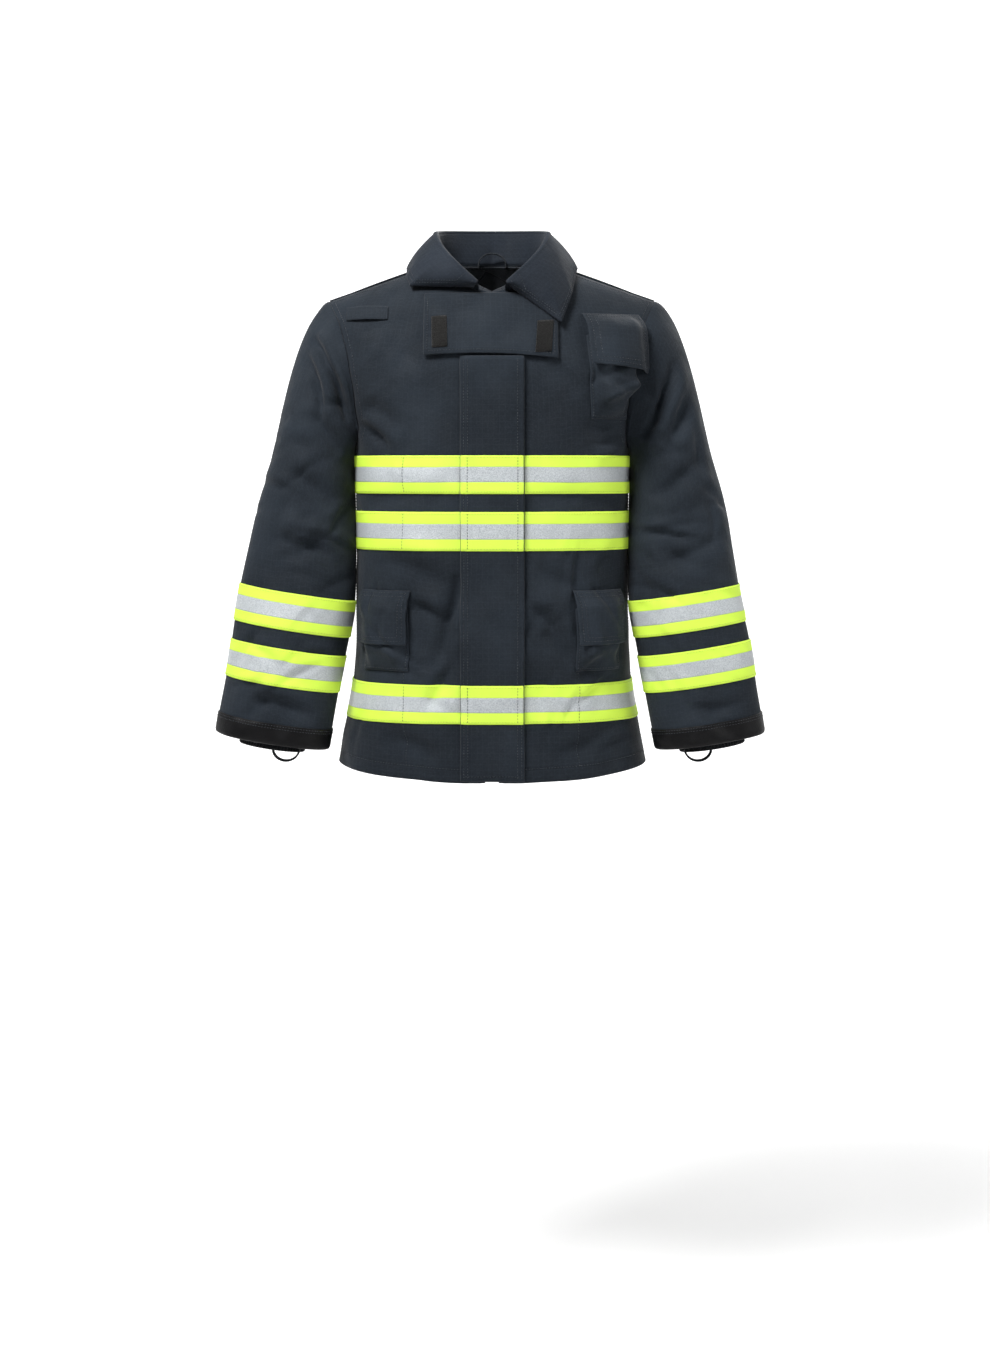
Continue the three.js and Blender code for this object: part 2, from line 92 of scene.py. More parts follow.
# The cuff's binding: height, and how far off the sleeve
CUFF_PROFILE = [(77, 0.9), (70, 0.9), (60, 0.9), (54, 0.9), (50.8, 0.0), (50.0, -1.3)]
CUFF_PROFILE += [(50.8, -2.8), (54, -3.6), (62, -3.7), (72, -3.7)]

# Trim
BODY_BANDS = {"chest_upper": (388, 438), "chest_lower": (312, 363), "hem": (80, 131)}
SLEEVE_BANDS = {"upper": (203, 252), "lower": (128, 177)}
BAND_UNDER, BAND_OVER = 0.5, 1.6
FLAP_HINGE_X, FLAP_FREE_X = -40.0, 41.0
FLAP_LOW, FLAP_HIGH = 3.0, 569.0
FLAP_UNDER, FLAP_OVER = 4.2, 6.6
FLAP_TAPE = 1.5
FLAP_STITCHES_X = (-31.5, 33.0)
HOOK_STRIP_X, HOOK_STRIP_Z = (12, 30), (18, 557)
ZIP_LOW, ZIP_HIGH = 18.0, 562.0
TOOTH_PITCH, TOOTH_X, TOOTH_OUT = 3.2, 1.3, -1.6
# Centres of the blocks that make the slider and its pull: x, z and how far out
SLIDER_BLOCKS = [(0, 551, 1.2), (0, 556, 1.4), (0, 547, 2.2)]
PULL_BLOCKS = [(0, 530, 1.5), (0, 518, 1.6), (0, 542, 1.9)]
STITCH_PITCH = 4.0
STITCH_LENGTH = 2.8
STITCH_RADIUS = 0.42
# How far stitches lie off the cloth they go through, and in from a band's edge
SHELL_THREAD, FLAP_THREAD, CUFF_THREAD = 0.15, 0.12, 1.6
BAND_THREAD = BAND_OVER + 0.1
BAND_STITCH_IN = 2.2
HEM_SEAM_Z = 18.0
YOKE_SEAMS_Z = (588.0, 583.0)
FACING_SEAMS_X = (-118.0, 117.0)


def clamp(value, low=0.0, high=1.0):
    return np.clip(value, low, high)


def lerp(a, b, t):
    return a + (b - a) * t


def ease(t):
    t = clamp(t)
    return t * t * (3 - 2 * t)


def plane(columns, rows, across=(0, 1), up=(0, 1)):
    """An even grid of two coordinates."""
    return np.meshgrid(np.linspace(*across, columns), np.linspace(*up, rows), indexing="ij")


def smooth_profile(stations, spread=14.0):
    """A smooth curve through (height, value) stations, going on straight past both ends."""
    step = 2.0
    at = np.arange(-80.0, 800.0, step)
    heights, values = (np.array(x, float) for x in zip(*stations))
    table = np.interp(at, heights, values)
    low_slope = (values[1] - values[0]) / (heights[1] - heights[0])
    high_slope = (values[-1] - values[-2]) / (heights[-1] - heights[-2])
    table = np.where(at < heights[0], values[0] + (at - heights[0]) * low_slope, table)
    table = np.where(at > heights[-1], values[-1] + (at - heights[-1]) * high_slope, table)
    reach = np.arange(-3 * spread, 3 * spread + step, step)
    weights = np.exp(-0.5 * (reach / spread) ** 2)
    padded = np.pad(table, len(reach) // 2, mode="reflect", reflect_type="odd")
    table = np.convolve(padded, weights / weights.sum(), mode="valid")[: len(at)]
    return lambda height: np.interp(height, at, table)


half_width = smooth_profile(
    [
        (0, 218), (80, 203), (130, 194), (180, 190), (230, 189), (330, 188.6), (430, 188.8),
        (475, 190), (540, 212), (580, 224), (651, 245),
    ]
)
front_depth = smooth_profile([(0, 142), (565, 134), (620, 124), (655, 112), (700, 98)])
back_depth = smooth_profile([(0, 138), (130, 128), (330, 122), (450, 126), (560, 126), (655, 112), (700, 96)])
armhole_line = smooth_profile(
    [(450, 186), (458, 183), (475, 181), (500, 184), (540, 190), (580, 197), (620, 208), (651, 224)], 6.0
)
sleeve_x = smooth_profile([(50, 301), (122, 288), (245, 266), (348, 256), (441, 246)])
sleeve_y = smooth_profile([(50, -75), (122, -68), (245, -52), (348, -30), (441, -10)])
sleeve_half_width = smooth_profile([(50, 77), (122, 77), (245, 79), (348, 70), (441, 56)])
sleeve_half_depth = smooth_profile([(50, 50), (245, 56), (348, 64), (441, 74)])


# Folds
# Each crease runs from (x, z) to (x, z), with a width and the depth of its valley; a ridge lies beside it.
FRONT_CREASES = [
    (-186, 482, -138, 446, 9, 3.0),
    (-180, 510, -120, 470, 14, 1.6),
    (182, 470, 128, 452, 9, 2.6),
    (184, 500, 120, 470, 14, 1.8),
    (-46, 282, -64, 208, 9, 3.4),
    (-60, 230, -84, 150, 12, 2.6),
    (-112, 240, -62, 216, 9, 2.6),
    (-50, 180, -90, 96, 14, 2.0),
    (-150, 300, -60, 262, 16, 1.8),
    (50, 240, 96, 190, 10, 2.8),
    (70, 206, 108, 150, 12, 2.2),
    (112, 262, 60, 292, 14, 2.0),
    (48, 170, 70, 84, 14, 1.6),
    (-150, 60, -70, 30, 16, 2.2),
    (160, 66, 80, 34, 16, 2.0),
    (-180, 372, -40, 378, 16, 1.2),
    (40, 380, 180, 370, 16, 1.2),
    (-70, 560, -150, 590, 16, 1.2),
    (74, 560, 116, 520, 14, 1.6),
]
BACK_CREASES = [
    (-150, 520, -60, 470, 16, 2.8),
    (150, 516, 64, 462, 16, 2.6),
    (-170, 440, -90, 420, 14, 1.6),
    (172, 446, 96, 424, 14, 1.6),
    (-30, 300, -52, 190, 16, 3.0),
    (34, 290, 60, 176, 16, 2.8),
    (-110, 270, -130, 150, 16, 2.2),
    (116, 280, 128, 160, 16, 2.0),
    (0, 640, -60, 610, 18, 1.4),
    (10, 160, -14, 40, 20, 2.4),
]
SLEEVE_CREASES = [
    (-246, 600, -222, 556, 7, 4.0),
    (-226, 566, -196, 482, 7, 5.0),
    (-256, 580, -231, 486, 8, 4.4),
    (-250, 500, -206, 440, 11, 3.6),
    (-286, 420, -214, 372, 14, 2.6),
    (-300, 330, -216, 300, 13, 3.0),
    (-290, 296, -222, 318, 13, 2.0),
    (-330, 110, -240, 84, 12, 3.0),
    (-300, 120, -350, 78, 12, 2.0),
    (246, 566, 226, 500, 8, 4.0),
    (238, 540, 204, 462, 8, 4.4),
    (262, 520, 236, 446, 10, 3.4),
    (286, 440, 214, 380, 14, 3.0),
    (316, 332, 226, 296, 13, 2.8),
    (300, 288, 222, 312, 14, 2.2),
    (350, 110, 262, 96, 12, 2.4),
    (340, 60, 280, 108, 12, 2.0),
]


def wrinkles(seed, count, x_range, z_range, tilt, spread, deepest):
    """Random short creases over a region, mostly at one tilt."""
    chance = np.random.default_rng(seed)
    runs = []
    for _ in range(count):
        x, z = chance.uniform(*x_range), chance.uniform(*z_range)
        angle, reach = chance.normal(tilt, spread), chance.uniform(20, 52)
        dx, dz = reach * math.cos(angle), reach * math.sin(angle)
        runs.append(
            (x - dx, z - dz, x + dx, z + dz, chance.uniform(4.5, 8.5), chance.uniform(0.25, 1.0) * deepest)
        )
    return runs


FRONT_CREASES += wrinkles(SEED + 3, 16, (-180, -50), (20, 300), 1.9, 0.5, 1.1)
FRONT_CREASES += wrinkles(SEED + 4, 16, (50, 180), (20, 300), 1.2, 0.5, 1.1)
FRONT_CREASES += wrinkles(SEED + 5, 12, (-180, 180), (370, 560), 0.1, 0.5, 0.5)
BACK_CREASES += wrinkles(SEED + 6, 36, (-180, 180), (20, 560), 1.5, 0.9, 1.0)
SLEEVE_CREASES += wrinkles(SEED + 8, 30, (-340, -200), (90, 520), 0.35, 0.45, 1.5)
SLEEVE_CREASES += wrinkles(SEED + 9, 30, (200, 340), (90, 520), -0.35, 0.45, 1.5)


def creases(runs, x, z):
    """How far cloth at (x, z) stands off its smooth shape because of the creases."""
    total = np.zeros(np.broadcast(x, z).shape)
    for x0, z0, x1, z1, width, depth in runs:
        length = math.hypot(x1 - x0, z1 - z0)
        along_x, along_z = (x1 - x0) / length, (z1 - z0) / length
        along = ((x - x0) * along_x + (z - z0) * along_z) / length
        bow = 0.06 * length * np.sin(clamp(along) * math.pi)
        away = (x - x0) * -along_z + (z - z0) * along_x - bow
        past = length * (along - clamp(along))
        valley = np.exp(-((away / (0.72 * width)) ** 2))
        ridge = 0.6 * np.exp(-(((away - 1.7 * width) / (1.1 * width)) ** 2))
        taper = np.sin(clamp(along) * math.pi) ** 0.7 * np.exp(-((past / width) ** 2))
        total += depth * (ridge - valley) * taper
    return total


def ripple(seed, count, shortest, longest, upright):
    """Slow random waves over (x, z); upright stretches them along z."""
    chance = np.random.default_rng(seed)
    waves = []
    for _ in range(count):
        angle = chance.uniform(0, math.pi)
        number = 2 * math.pi / chance.uniform(shortest, longest)
        waves.append(
            (number * math.cos(angle), number * math.sin(angle) / upright, chance.uniform(0, 2 * math.pi))
        )

    def height(x, z):
        return sum(np.sin(kx * x + kz * z + phase) for kx, kz, phase in waves) / math.sqrt(count)

    return height


body_ripple = ripple(SEED, 12, 70, 230, 1.6)
fine_ripple = ripple(SEED + 1, 10, 26, 60, 1.3)


def body_folds(face, x, z):
    across = clamp(np.abs(x) / half_width(z))
    from_side = ease((1 - across) / 0.16)
    from_top = ease((640 - z) / 90)
    skirt = ease((210 - z) / 210)
    waves = body_ripple(x, z) * lerp(2.0, 3.4, skirt) * lerp(0.4, 1.0, from_side) + 0.5 * fine_ripple(x, z)
    waves = waves + 2.6 * skirt * np.sin(x / 31.0 + 0.8) * from_side
    runs = FRONT_CREASES if face == FRONT else BACK_CREASES
    folds = (waves * 0.75 + 2.9 * creases(runs, x, z) * from_side) * from_top
    if face == FRONT:
        folds = folds * ease((np.abs(x) - CLOSURE_FLAT) / CLOSURE_EASE)
    return folds


def shoulder_height(x):
    return SHOULDER_TIP_Z + (SHOULDER_TIP_X - np.abs(x)) * SHOULDER_SLOPE


def body(face, x, z, out, folded=True):
    """A point on the coat's body, `out` off its surface."""
    x, z = np.broadcast_arrays(np.asarray(x, float), np.asarray(z, float))
    if folded:
        out = out + body_folds(face, x, z)
    across = clamp(np.abs(x) / half_width(z))
    depth = front_depth(z) if face == FRONT else back_depth(z)
    rounding = clamp(1 - across**SQUARENESS) ** (1 / SQUARENESS)
    below = clamp((shoulder_height(x) - z) / SHOULDER_ROUND)
    crown = np.sqrt(1 - (1 - below) ** 2)
    y = face * (0.25 + (depth + out) * rounding * crown)
    return np.stack([x + np.sign(x) * across * out, y, z + (1 - crown) * out], -1)


def armhole_x(z):
    return np.where(z < ARMPIT_Z, half_width(z), np.minimum(armhole_line(z), half_width(z)))


def panel_top(face, x):
    share = clamp(np.abs(x) / NECK_HALF)
    middle = NECK_FRONT_Z if face == FRONT else NECK_BACK_Z
    return np.where(
        np.abs(x) >= NECK_HALF, shoulder_height(x), lerp(middle, shoulder_height(NECK_HALF), share**2)
    )


def panel(face, edge, side, s, t, out, folded=True):
    """A point s across a panel and t up it: 1 at the armpit's height and 2 at its top."""
    top = panel_top(face, lerp(edge, SHOULDER_TIP_X, s))
    z = np.where(t < 1, lerp(HEM_SIDE_RISE * s * s, ARMPIT_Z, t), lerp(ARMPIT_Z, top, t - 1))
    closed = ease((z - ZIP_HIGH) / 7.0) if face == FRONT else 0.0
    x = side * lerp(lerp(edge, min(edge, 0.8), closed), armhole_x(z), s)
    return body(face, x, z, out, folded)


def across_steps(count):
    return np.sin(np.linspace(0, 1, count) * math.pi / 2) ** 0.92


def up_steps(seams=()):
    low = np.linspace(0, 1, 92)
    high = 1 + np.sin(np.linspace(0, 1, 52)[1:] * math.pi / 2)
    near = [z / ARMPIT_Z + nudge for z in seams for nudge in (-0.004, 0.0, 0.004)]
    return np.unique(np.concatenate([low, high, near]))


# Meshes
def unit(vectors):
    return vectors / np.maximum(np.linalg.norm(vectors, axis=-1, keepdims=True), 1e-9)


def arc_uv(points, shift=(0.0, 0.0)):
    """Distances along the cloth's columns and rows, in metres, so that weave has the same size everywhere."""
    across = np.linalg.norm(np.diff(points, axis=0), axis=-1)
    up = np.linalg.norm(np.diff(points, axis=1), axis=-1)
    u = np.concatenate([np.zeros((1, points.shape[1])), np.cumsum(across, 0)])
    v = np.concatenate([np.zeros((points.shape[0], 1)), np.cumsum(up, 1)], 1)
    return np.stack([u, v], -1) * MM + np.array(shift)


def build(name, vertices, faces, uvs, material, sharp_rings=()):
    mesh = bpy.data.meshes.new(name)
    mesh.from_pydata(((np.asarray(vertices) - ORIGIN) * MM).tolist(), [], [list(f) for f in faces])
    layer = mesh.uv_layers.new(name="weave")
    layer.data.foreach_set("uv", np.asarray(uvs, np.float32).ravel())
    mesh.polygons.foreach_set("use_smooth", np.ones(len(mesh.polygons), bool))
    ends = np.zeros(2 * len(mesh.edges), int)
    mesh.edges.foreach_get("vertices", ends)
    sharp = np.zeros(len(mesh.edges), bool)
    for ring in sharp_rings:
        sharp |= np.isin(ends.reshape(-1, 2), ring).all(axis=1)
    mesh.edges.foreach_set("use_edge_sharp", sharp)
    mesh.materials.append(material)
    mesh.update()
    thing = bpy.data.objects.new(name, mesh)
    bpy.context.scene.collection.objects.link(thing)
    return thing


def cloth(name, outer, inner, material, wrap=False, plain=(), shift=(0.0, 0.0)):
    """A closed piece of cloth between two (columns, rows, 3) grids, with rounded edges.

    plain names the ends of a tube that are cut flat because another piece goes on from there.
    """
    columns, rows = outer.shape[:2]
    count = columns - 1 if wrap else columns
    index = (np.arange(columns) % count)[:, None] * rows + np.arange(rows)[None, :]
    uv = arc_uv(outer, shift)
    middle = (outer + inner) / 2
    thick = np.linalg.norm(outer - inner, axis=-1)
    faces, coordinates, sharp_rings = [], [], []

    def quads(a, b, c, d, uva, uvb, uvc, uvd):
        faces.append(np.stack([a, b, c, d], -1).reshape(-1, 4))
        coordinates.append(np.stack([uva, uvb, uvc, uvd], -2).reshape(-1, 4, 2))

    corner = (index[:-1, :-1], index[1:, :-1], index[1:, 1:], index[:-1, 1:])
    corner_uv = (uv[:-1, :-1], uv[1:, :-1], uv[1:, 1:], uv[:-1, 1:])
    quads(*corner, *corner_uv)
    layer = count * rows
    quads(*[c + layer for c in corner[::-1]], *corner_uv[::-1])

    if wrap:
        around = np.arange(columns)
        loops = [
            (around, np.zeros_like(around), around, np.ones_like(around), 1, "low"),
            (around, np.full_like(around, rows - 1), around, np.full_like(around, rows - 2), -1, "high"),
        ]
    else:
        over, up = np.arange(columns), np.arange(rows)
        i = np.concatenate([over, np.full(rows - 1, columns - 1), over[-2::-1], np.zeros(rows - 1, int)])
        j = np.concatenate([np.zeros(columns, int), up[1:], np.full(columns - 1, rows - 1), up[-2::-1]])
        loops = [(i, j, np.clip(i, 1, columns - 2), np.clip(j, 1, rows - 2), 1, "rim")]
    extra, base = [], 2 * layer
    for i, j, near_i, near_j, way, end in loops:
        push = unit(middle[i, j] - middle[near_i, near_j]) * (thick[i, j][:, None] / 2)
        if end in plain:
            push = push * 0
        rim = middle[i, j] + push
        ids = base + np.arange(len(i))
        if wrap:
            ids[-1] = ids[0]
            rim = rim[:-1]
        extra.append(rim)
        base += len(rim)
        top, low, edge_uv = index[i, j], index[i, j] + layer, uv[i, j]
        a, b = (slice(1, None), slice(None, -1)) if way > 0 else (slice(None, -1), slice(1, None))
        quads(top[a], top[b], ids[b], ids[a], edge_uv[a], edge_uv[b], edge_uv[b], edge_uv[a])
        quads(ids[a], ids[b], low[b], low[a], edge_uv[a], edge_uv[b], edge_uv[b], edge_uv[a])
        if end in plain:
            sharp_rings += [top, low]
    vertices = np.concatenate([outer[:count].reshape(-1, 3), inner[:count].reshape(-1, 3), *extra])
    faces, coordinates = np.concatenate(faces), np.concatenate(coordinates)
    p = vertices[faces[: (columns - 1) * (rows - 1)]]
    facing = np.cross(p[:, 2] - p[:, 0], p[:, 3] - p[:, 1])
    outwards = (outer - inner)[:-1, :-1].reshape(-1, 3)
    if (facing * outwards).sum() < 0:
        faces, coordinates = faces[:, ::-1], coordinates[:, ::-1]
    return build(name, vertices, faces, coordinates, material, sharp_rings)


def bind(thing, body_name="root", blend=None, replaces=(), slot=None):
    """Puts a piece on its body, or, when a blend between two bodies is given, leaves it on no body with its
    place baked in; hides the parts it replaces.

    slot is not used.
    """
    if blend:
        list(blend)
        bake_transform(thing)
    else:
        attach(thing, body_name)
    if replaces:
        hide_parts(*replaces)


def declare_sheet(smooth_points):
    """Works out the width, length and area of the flat cut that a cloth piece was made from, measured on its
    shape without folds; nothing is done with them.
    """
    uv = arc_uv(smooth_points)
    width, length = float(uv[..., 0].max()), float(uv[..., 1].max())
    p = smooth_points * MM
    one = np.cross(p[1:, 1:] - p[:-1, :-1], p[:-1, 1:] - p[1:, :-1])
    area = float(np.linalg.norm(one, axis=-1).sum() / 2)
    area = min(max(area, 0.301 * width * length), width * length)


def stitch_runs(name, runs, material, **where):
    """Real stitches along runs: each is a function of (t, out) giving points, and its height."""
    stitches = []
    for path, out in runs:
        t = np.linspace(0, 1, 400)
        on, above = path(t, out), path(t, out + 1.0)
        far = np.concatenate([[0], np.cumsum(np.linalg.norm(np.diff(on, axis=0), axis=-1))])
        count = max(2, int(far[-1] / STITCH_PITCH))
        at = (np.arange(count) + 0.5) * far[-1] / count
        start = np.stack([np.interp(at - STITCH_LENGTH / 2, far, on[:, k]) for k in range(3)], -1)
        end = np.stack([np.interp(at + STITCH_LENGTH / 2, far, on[:, k]) for k in range(3)], -1)
        up = unit(np.stack([np.interp(at, far, (above - on)[:, k]) for k in range(3)], -1))
        stitches.append(np.stack([start, end, up], 1))
    start, end, up = np.concatenate(stitches).transpose(1, 0, 2)
    along = unit(end - start)
    side = np.cross(along, up)
    sides = 5
    rings = []
    for share, radius, rise in ((0.0, 0.1, -0.15), (0.25, 0.9, 0.22), (0.75, 0.9, 0.22), (1.0, 0.1, -0.15)):
        centre = lerp(start, end, share) + up * rise
        for k in range(sides):
            angle = 2 * math.pi * k / sides
            rings.append(centre + STITCH_RADIUS * radius * (math.cos(angle) * side + math.sin(angle) * up))
    vertices = np.stack(rings, 1).reshape(-1, 3)
    each = 4 * sides
    one = []
    for ring in range(3):
        for k in range(sides):
            a, b = ring * sides + k, ring * sides + (k + 1) % sides
            one.append([a, a + sides, b + sides, b])
    faces = (np.arange(len(start))[:, None, None] * each + np.array(one)[None]).reshape(-1, 4)
    uvs = vertices[faces][..., [0, 2]] * MM
    bind(build(name, vertices, faces, uvs, material), **where)


def seam(point, over, u, v, lift):
    """A stitch run over a piece, straight in the piece's own (u, v)."""
    return (lambda t, out: point(lerp(*u, t), lerp(*v, t), over + out)), lift


# Materials
class Shade:
    """A procedural material read from the cloth's own metric coordinates."""

    def __init__(self, name, roughness=0.8, sheen=0.0, specular=0.3, metallic=0.0):
        self.material = bpy.data.materials.new(name)
        self.material.use_nodes = True
        self.tree = self.material.node_tree
        self.shader = self.tree.nodes["Principled BSDF"]
        inputs = self.shader.inputs
        inputs["Roughness"].default_value = roughness
        inputs["Sheen Weight"].default_value = sheen
        inputs["Sheen Roughness"].default_value = 0.45
        inputs["Specular IOR Level"].default_value = specular
        inputs["Metallic"].default_value = metallic
        coordinate = self.tree.nodes.new("ShaderNodeTexCoord")
        self.uv = coordinate.outputs["UV"]
        self.place = coordinate.outputs["Object"]
        split = self.tree.nodes.new("ShaderNodeSeparateXYZ")
        self.link(self.uv, split.inputs[0])
        self.u, self.v = split.outputs[0], split.outputs[1]

    def link(self, out, into):
        self.tree.links.new(out, into)

    def feed(self, socket, value):
        if isinstance(value, bpy.types.NodeSocket):
            self.link(value, socket)
        else:
            socket.default_value = value

    def math(self, operation, *values):
        node = self.tree.nodes.new("ShaderNodeMath")
        node.operation = operation
        for socket, value in zip(node.inputs, values):
            self.feed(socket, value)
        return node.outputs[0]

    def noise(self, scale, detail=3.0):
        node = self.tree.nodes.new("ShaderNodeTexNoise")
        self.link(self.place, node.inputs["Vector"])
        node.inputs["Scale"].default_value = scale
        node.inputs["Detail"].default_value = detail
        return node.outputs["Fac"]

    def ramp(self, value, low, high, to_low=0.0, to_high=1.0):
        node = self.tree.nodes.new("ShaderNodeMapRange")
        node.interpolation_type = "SMOOTHSTEP"
        for socket, given in zip(node.inputs, (value, low, high, to_low, to_high)):
            self.feed(socket, given)
        return node.outputs[0]

    def mix(self, share, a, b):
        node = self.tree.nodes.new("ShaderNodeMix")
        node.data_type = "RGBA"
        self.feed(node.inputs["Factor"], share)
        self.feed(node.inputs[6], (*a, 1.0) if isinstance(a, tuple) else a)
        self.feed(node.inputs[7], (*b, 1.0) if isinstance(b, tuple) else b)
        return node.outputs[2]

    def line(self, coordinate, pitch, width):
        """1 on evenly spaced lines and 0 between them."""
        return self.ramp(self.math("PINGPONG", coordinate, pitch / 2), 0.0, width, 1.0, 0.0)

    def wave(self, coordinate, pitch):
        return self.math("SINE", self.math("MULTIPLY", coordinate, 2 * math.pi / pitch))

    def weave(self, across, up):
        return self.math("MULTIPLY", self.wave(self.u, across), self.wave(self.v, up))

    def add(self, *values):
        total = values[0]
        for value in values[1:]:
            total = self.math("ADD", total, value)
        return total

    def scale(self, value, by):
        return self.math("MULTIPLY", value, by)

    def finish(self, colour, height=None, strength=0.5, distance=0.001, roughness=None):
        self.feed(self.shader.inputs["Base Color"], colour)
        if roughness is not None:
            self.feed(self.shader.inputs["Roughness"], roughness)
        if height is not None:
            bump = self.tree.nodes.new("ShaderNodeBump")
            bump.inputs["Strength"].default_value = strength
            bump.inputs["Distance"].default_value = distance
            self.link(height, bump.inputs["Height"])
            self.link(bump.outputs[0], self.shader.inputs["Normal"])
        return self.material


def ripstop(name, dark, light):
    """Plain weave with thicker threads in a small grid, a little worn."""
    s = Shade(name, roughness=0.82, sheen=0.05, specular=0.12)
    pitch, width = 0.0075, 0.0009
    grid = s.math("MAXIMUM", s.line(s.u, pitch, width), s.line(s.v, pitch, width))
    weave = s.weave(0.0016, 0.0016)
    patches = s.ramp(s.noise(9.0), 0.35, 0.68)
    slub = s.noise(420.0, 2.0)
    tone = s.mix(patches, dark, light)
    lighter = tuple(min(1.0, c * 1.55 + 0.004) for c in light)
    tone = s.mix(s.scale(grid, 0.16), tone, lighter)
    tone = s.mix(s.scale(s.ramp(slub, 0.4, 0.75), 0.22), tone, lighter)
    soft = s.noise(38.0, 4.0)
    height = s.add(s.scale(weave, 0.06), s.scale(grid, 0.12), s.scale(slub, 0.16), s.scale(soft, 2.6))
    rough = s.ramp(s.noise(30.0), 0.3, 0.7, 0.74, 0.9)
    return s.finish(tone, height, 0.6, 0.0012, rough)


def quilted(name):
    s = Shade(name, roughness=0.85, sheen=0.08, specular=0.1)
    weave = s.weave(0.0011, 0.0011)
    diagonal = s.add(s.u, s.v)
    other = s.math("SUBTRACT", s.u, s.v)
    seam = s.math("MAXIMUM", s.line(diagonal, 0.05, 0.0022), s.line(other, 0.05, 0.0022))
    tone = s.mix(s.noise(14.0), (0.020, 0.023, 0.028), (0.034, 0.038, 0.044))
    tone = s.mix(s.scale(seam, 0.6), tone, (0.010, 0.011, 0.014))
    height = s.add(s.scale(seam, -1.6), s.scale(weave, 0.12), s.scale(s.noise(60.0), 0.8))
    return s.finish(tone, height, 0.7, 0.0012)


def reflective(name):
    """Lime cloth with a silver glass-bead stripe along its middle; v is metres from the lower edge."""
    s = Shade(name, roughness=0.55, specular=0.35)
    silver = s.math("MULTIPLY", s.ramp(s.v, 0.0148, 0.0156), s.ramp(s.v, 0.0349, 0.0357, 1.0, 0.0))
    weave = s.weave(0.0014, 0.0014)
    dirt = s.ramp(s.noise(26.0, 5.0), 0.42, 0.78)
    lime = s.mix(s.scale(dirt, 0.3), (0.47, 0.66, 0.05), (0.35, 0.51, 0.045))
    lime = s.mix(s.ramp(weave, -1.0, 1.0, 0.0, 0.12), lime, (0.58, 0.76, 0.12))
    beads = s.noise(900.0, 1.0)
    grey = s.mix(s.ramp(beads, 0.35, 0.65), (0.30, 0.325, 0.34), (0.45, 0.475, 0.49))
    grey = s.mix(s.scale(dirt, 0.35), grey, (0.25, 0.265, 0.28))
    off_edges = [s.math("ABSOLUTE", s.math("SUBTRACT", s.v, edge)) for edge in (0.0152, 0.0353)]
    edge = s.math("MAXIMUM", *[s.ramp(off, 0.0002, 0.0007, 1.0, 0.0) for off in off_edges])
    colour = s.mix(s.scale(edge, 0.45), s.mix(silver, lime, grey), (0.16, 0.18, 0.16))
    # The lime is made to glow a little: painted light that brightens it whatever the lamps, while the silver
    # stripe gets none.
    s.feed(s.shader.inputs["Emission Color"], s.mix(silver, (0.48, 0.72, 0.06), (0.0, 0.0, 0.0)))
    s.shader.inputs["Emission Strength"].default_value = 0.22
    relief = (
        s.scale(weave, 0.2), s.scale(silver, 0.5), s.scale(edge, -0.9), s.scale(s.noise(55.0, 4.0), 1.6)
    )
    height = s.add(*relief)
    return s.finish(colour, height, 0.55, 0.0009, s.ramp(silver, 0.0, 1.0, 0.68, 0.34))


def hook_and_loop(name):
    s = Shade(name, roughness=0.95, sheen=0.12, specular=0.08)
    fuzz = s.noise(1500.0, 3.0)
    rows = s.wave(s.u, 0.0016)
    tone = s.mix(s.ramp(fuzz, 0.3, 0.7), (0.0035, 0.0034, 0.0033), (0.0135, 0.0130, 0.0125))
    return s.finish(tone, s.add(s.scale(fuzz, 1.2), s.scale(rows, 0.3)), 0.9, 0.0012)


def leather(name):
    s = Shade(name, roughness=0.6, specular=0.14)
    grain = s.tree.nodes.new("ShaderNodeTexVoronoi")
    s.link(s.place, grain.inputs["Vector"])
    grain.inputs["Scale"].default_value = 620.0
    worn = s.ramp(s.noise(40.0, 5.0), 0.5, 0.72)
    tone = s.mix(s.scale(worn, 0.5), (0.0025, 0.0025, 0.003), (0.009, 0.009, 0.010))
    height = s.add(s.scale(grain.outputs["Distance"], 0.8), s.scale(s.noise(90.0), 1.2))
    return s.finish(tone, height, 0.5, 0.0006, s.ramp(worn, 0.0, 1.0, 0.5, 0.75))


def knit(name):
    s = Shade(name, roughness=0.95, sheen=0.08, specular=0.08)
    loops = s.weave(0.0022, 0.003)
    tone = s.mix(s.ramp(loops, -0.5, 0.8), (0.004, 0.0045, 0.0055), (0.018, 0.020, 0.023))
    return s.finish(tone, s.add(s.scale(loops, 0.8), s.scale(s.noise(800.0), 0.6)), 0.8, 0.0008)


def webbing(name, dark, light):
    s = Shade(name, roughness=0.85, sheen=0.15, specular=0.2)
    twill = s.wave(s.add(s.u, s.scale(s.v, 0.5)), 0.0018)
    tone = s.mix(s.ramp(twill, -1.0, 1.0), dark, light)
    return s.finish(tone, s.add(s.scale(twill, 0.5), s.scale(s.noise(500.0), 0.4)), 0.6, 0.0005)


def brass(name):
    s = Shade(name, roughness=0.35, specular=0.5, metallic=0.9)
    worn = s.ramp(s.noise(120.0, 5.0), 0.42, 0.7)
    tone = s.mix(worn, (0.46, 0.32, 0.12), (0.20, 0.14, 0.07))
    return s.finish(tone, s.noise(700.0), 0.25, 0.0003, s.ramp(worn, 0.0, 1.0, 0.28, 0.6))


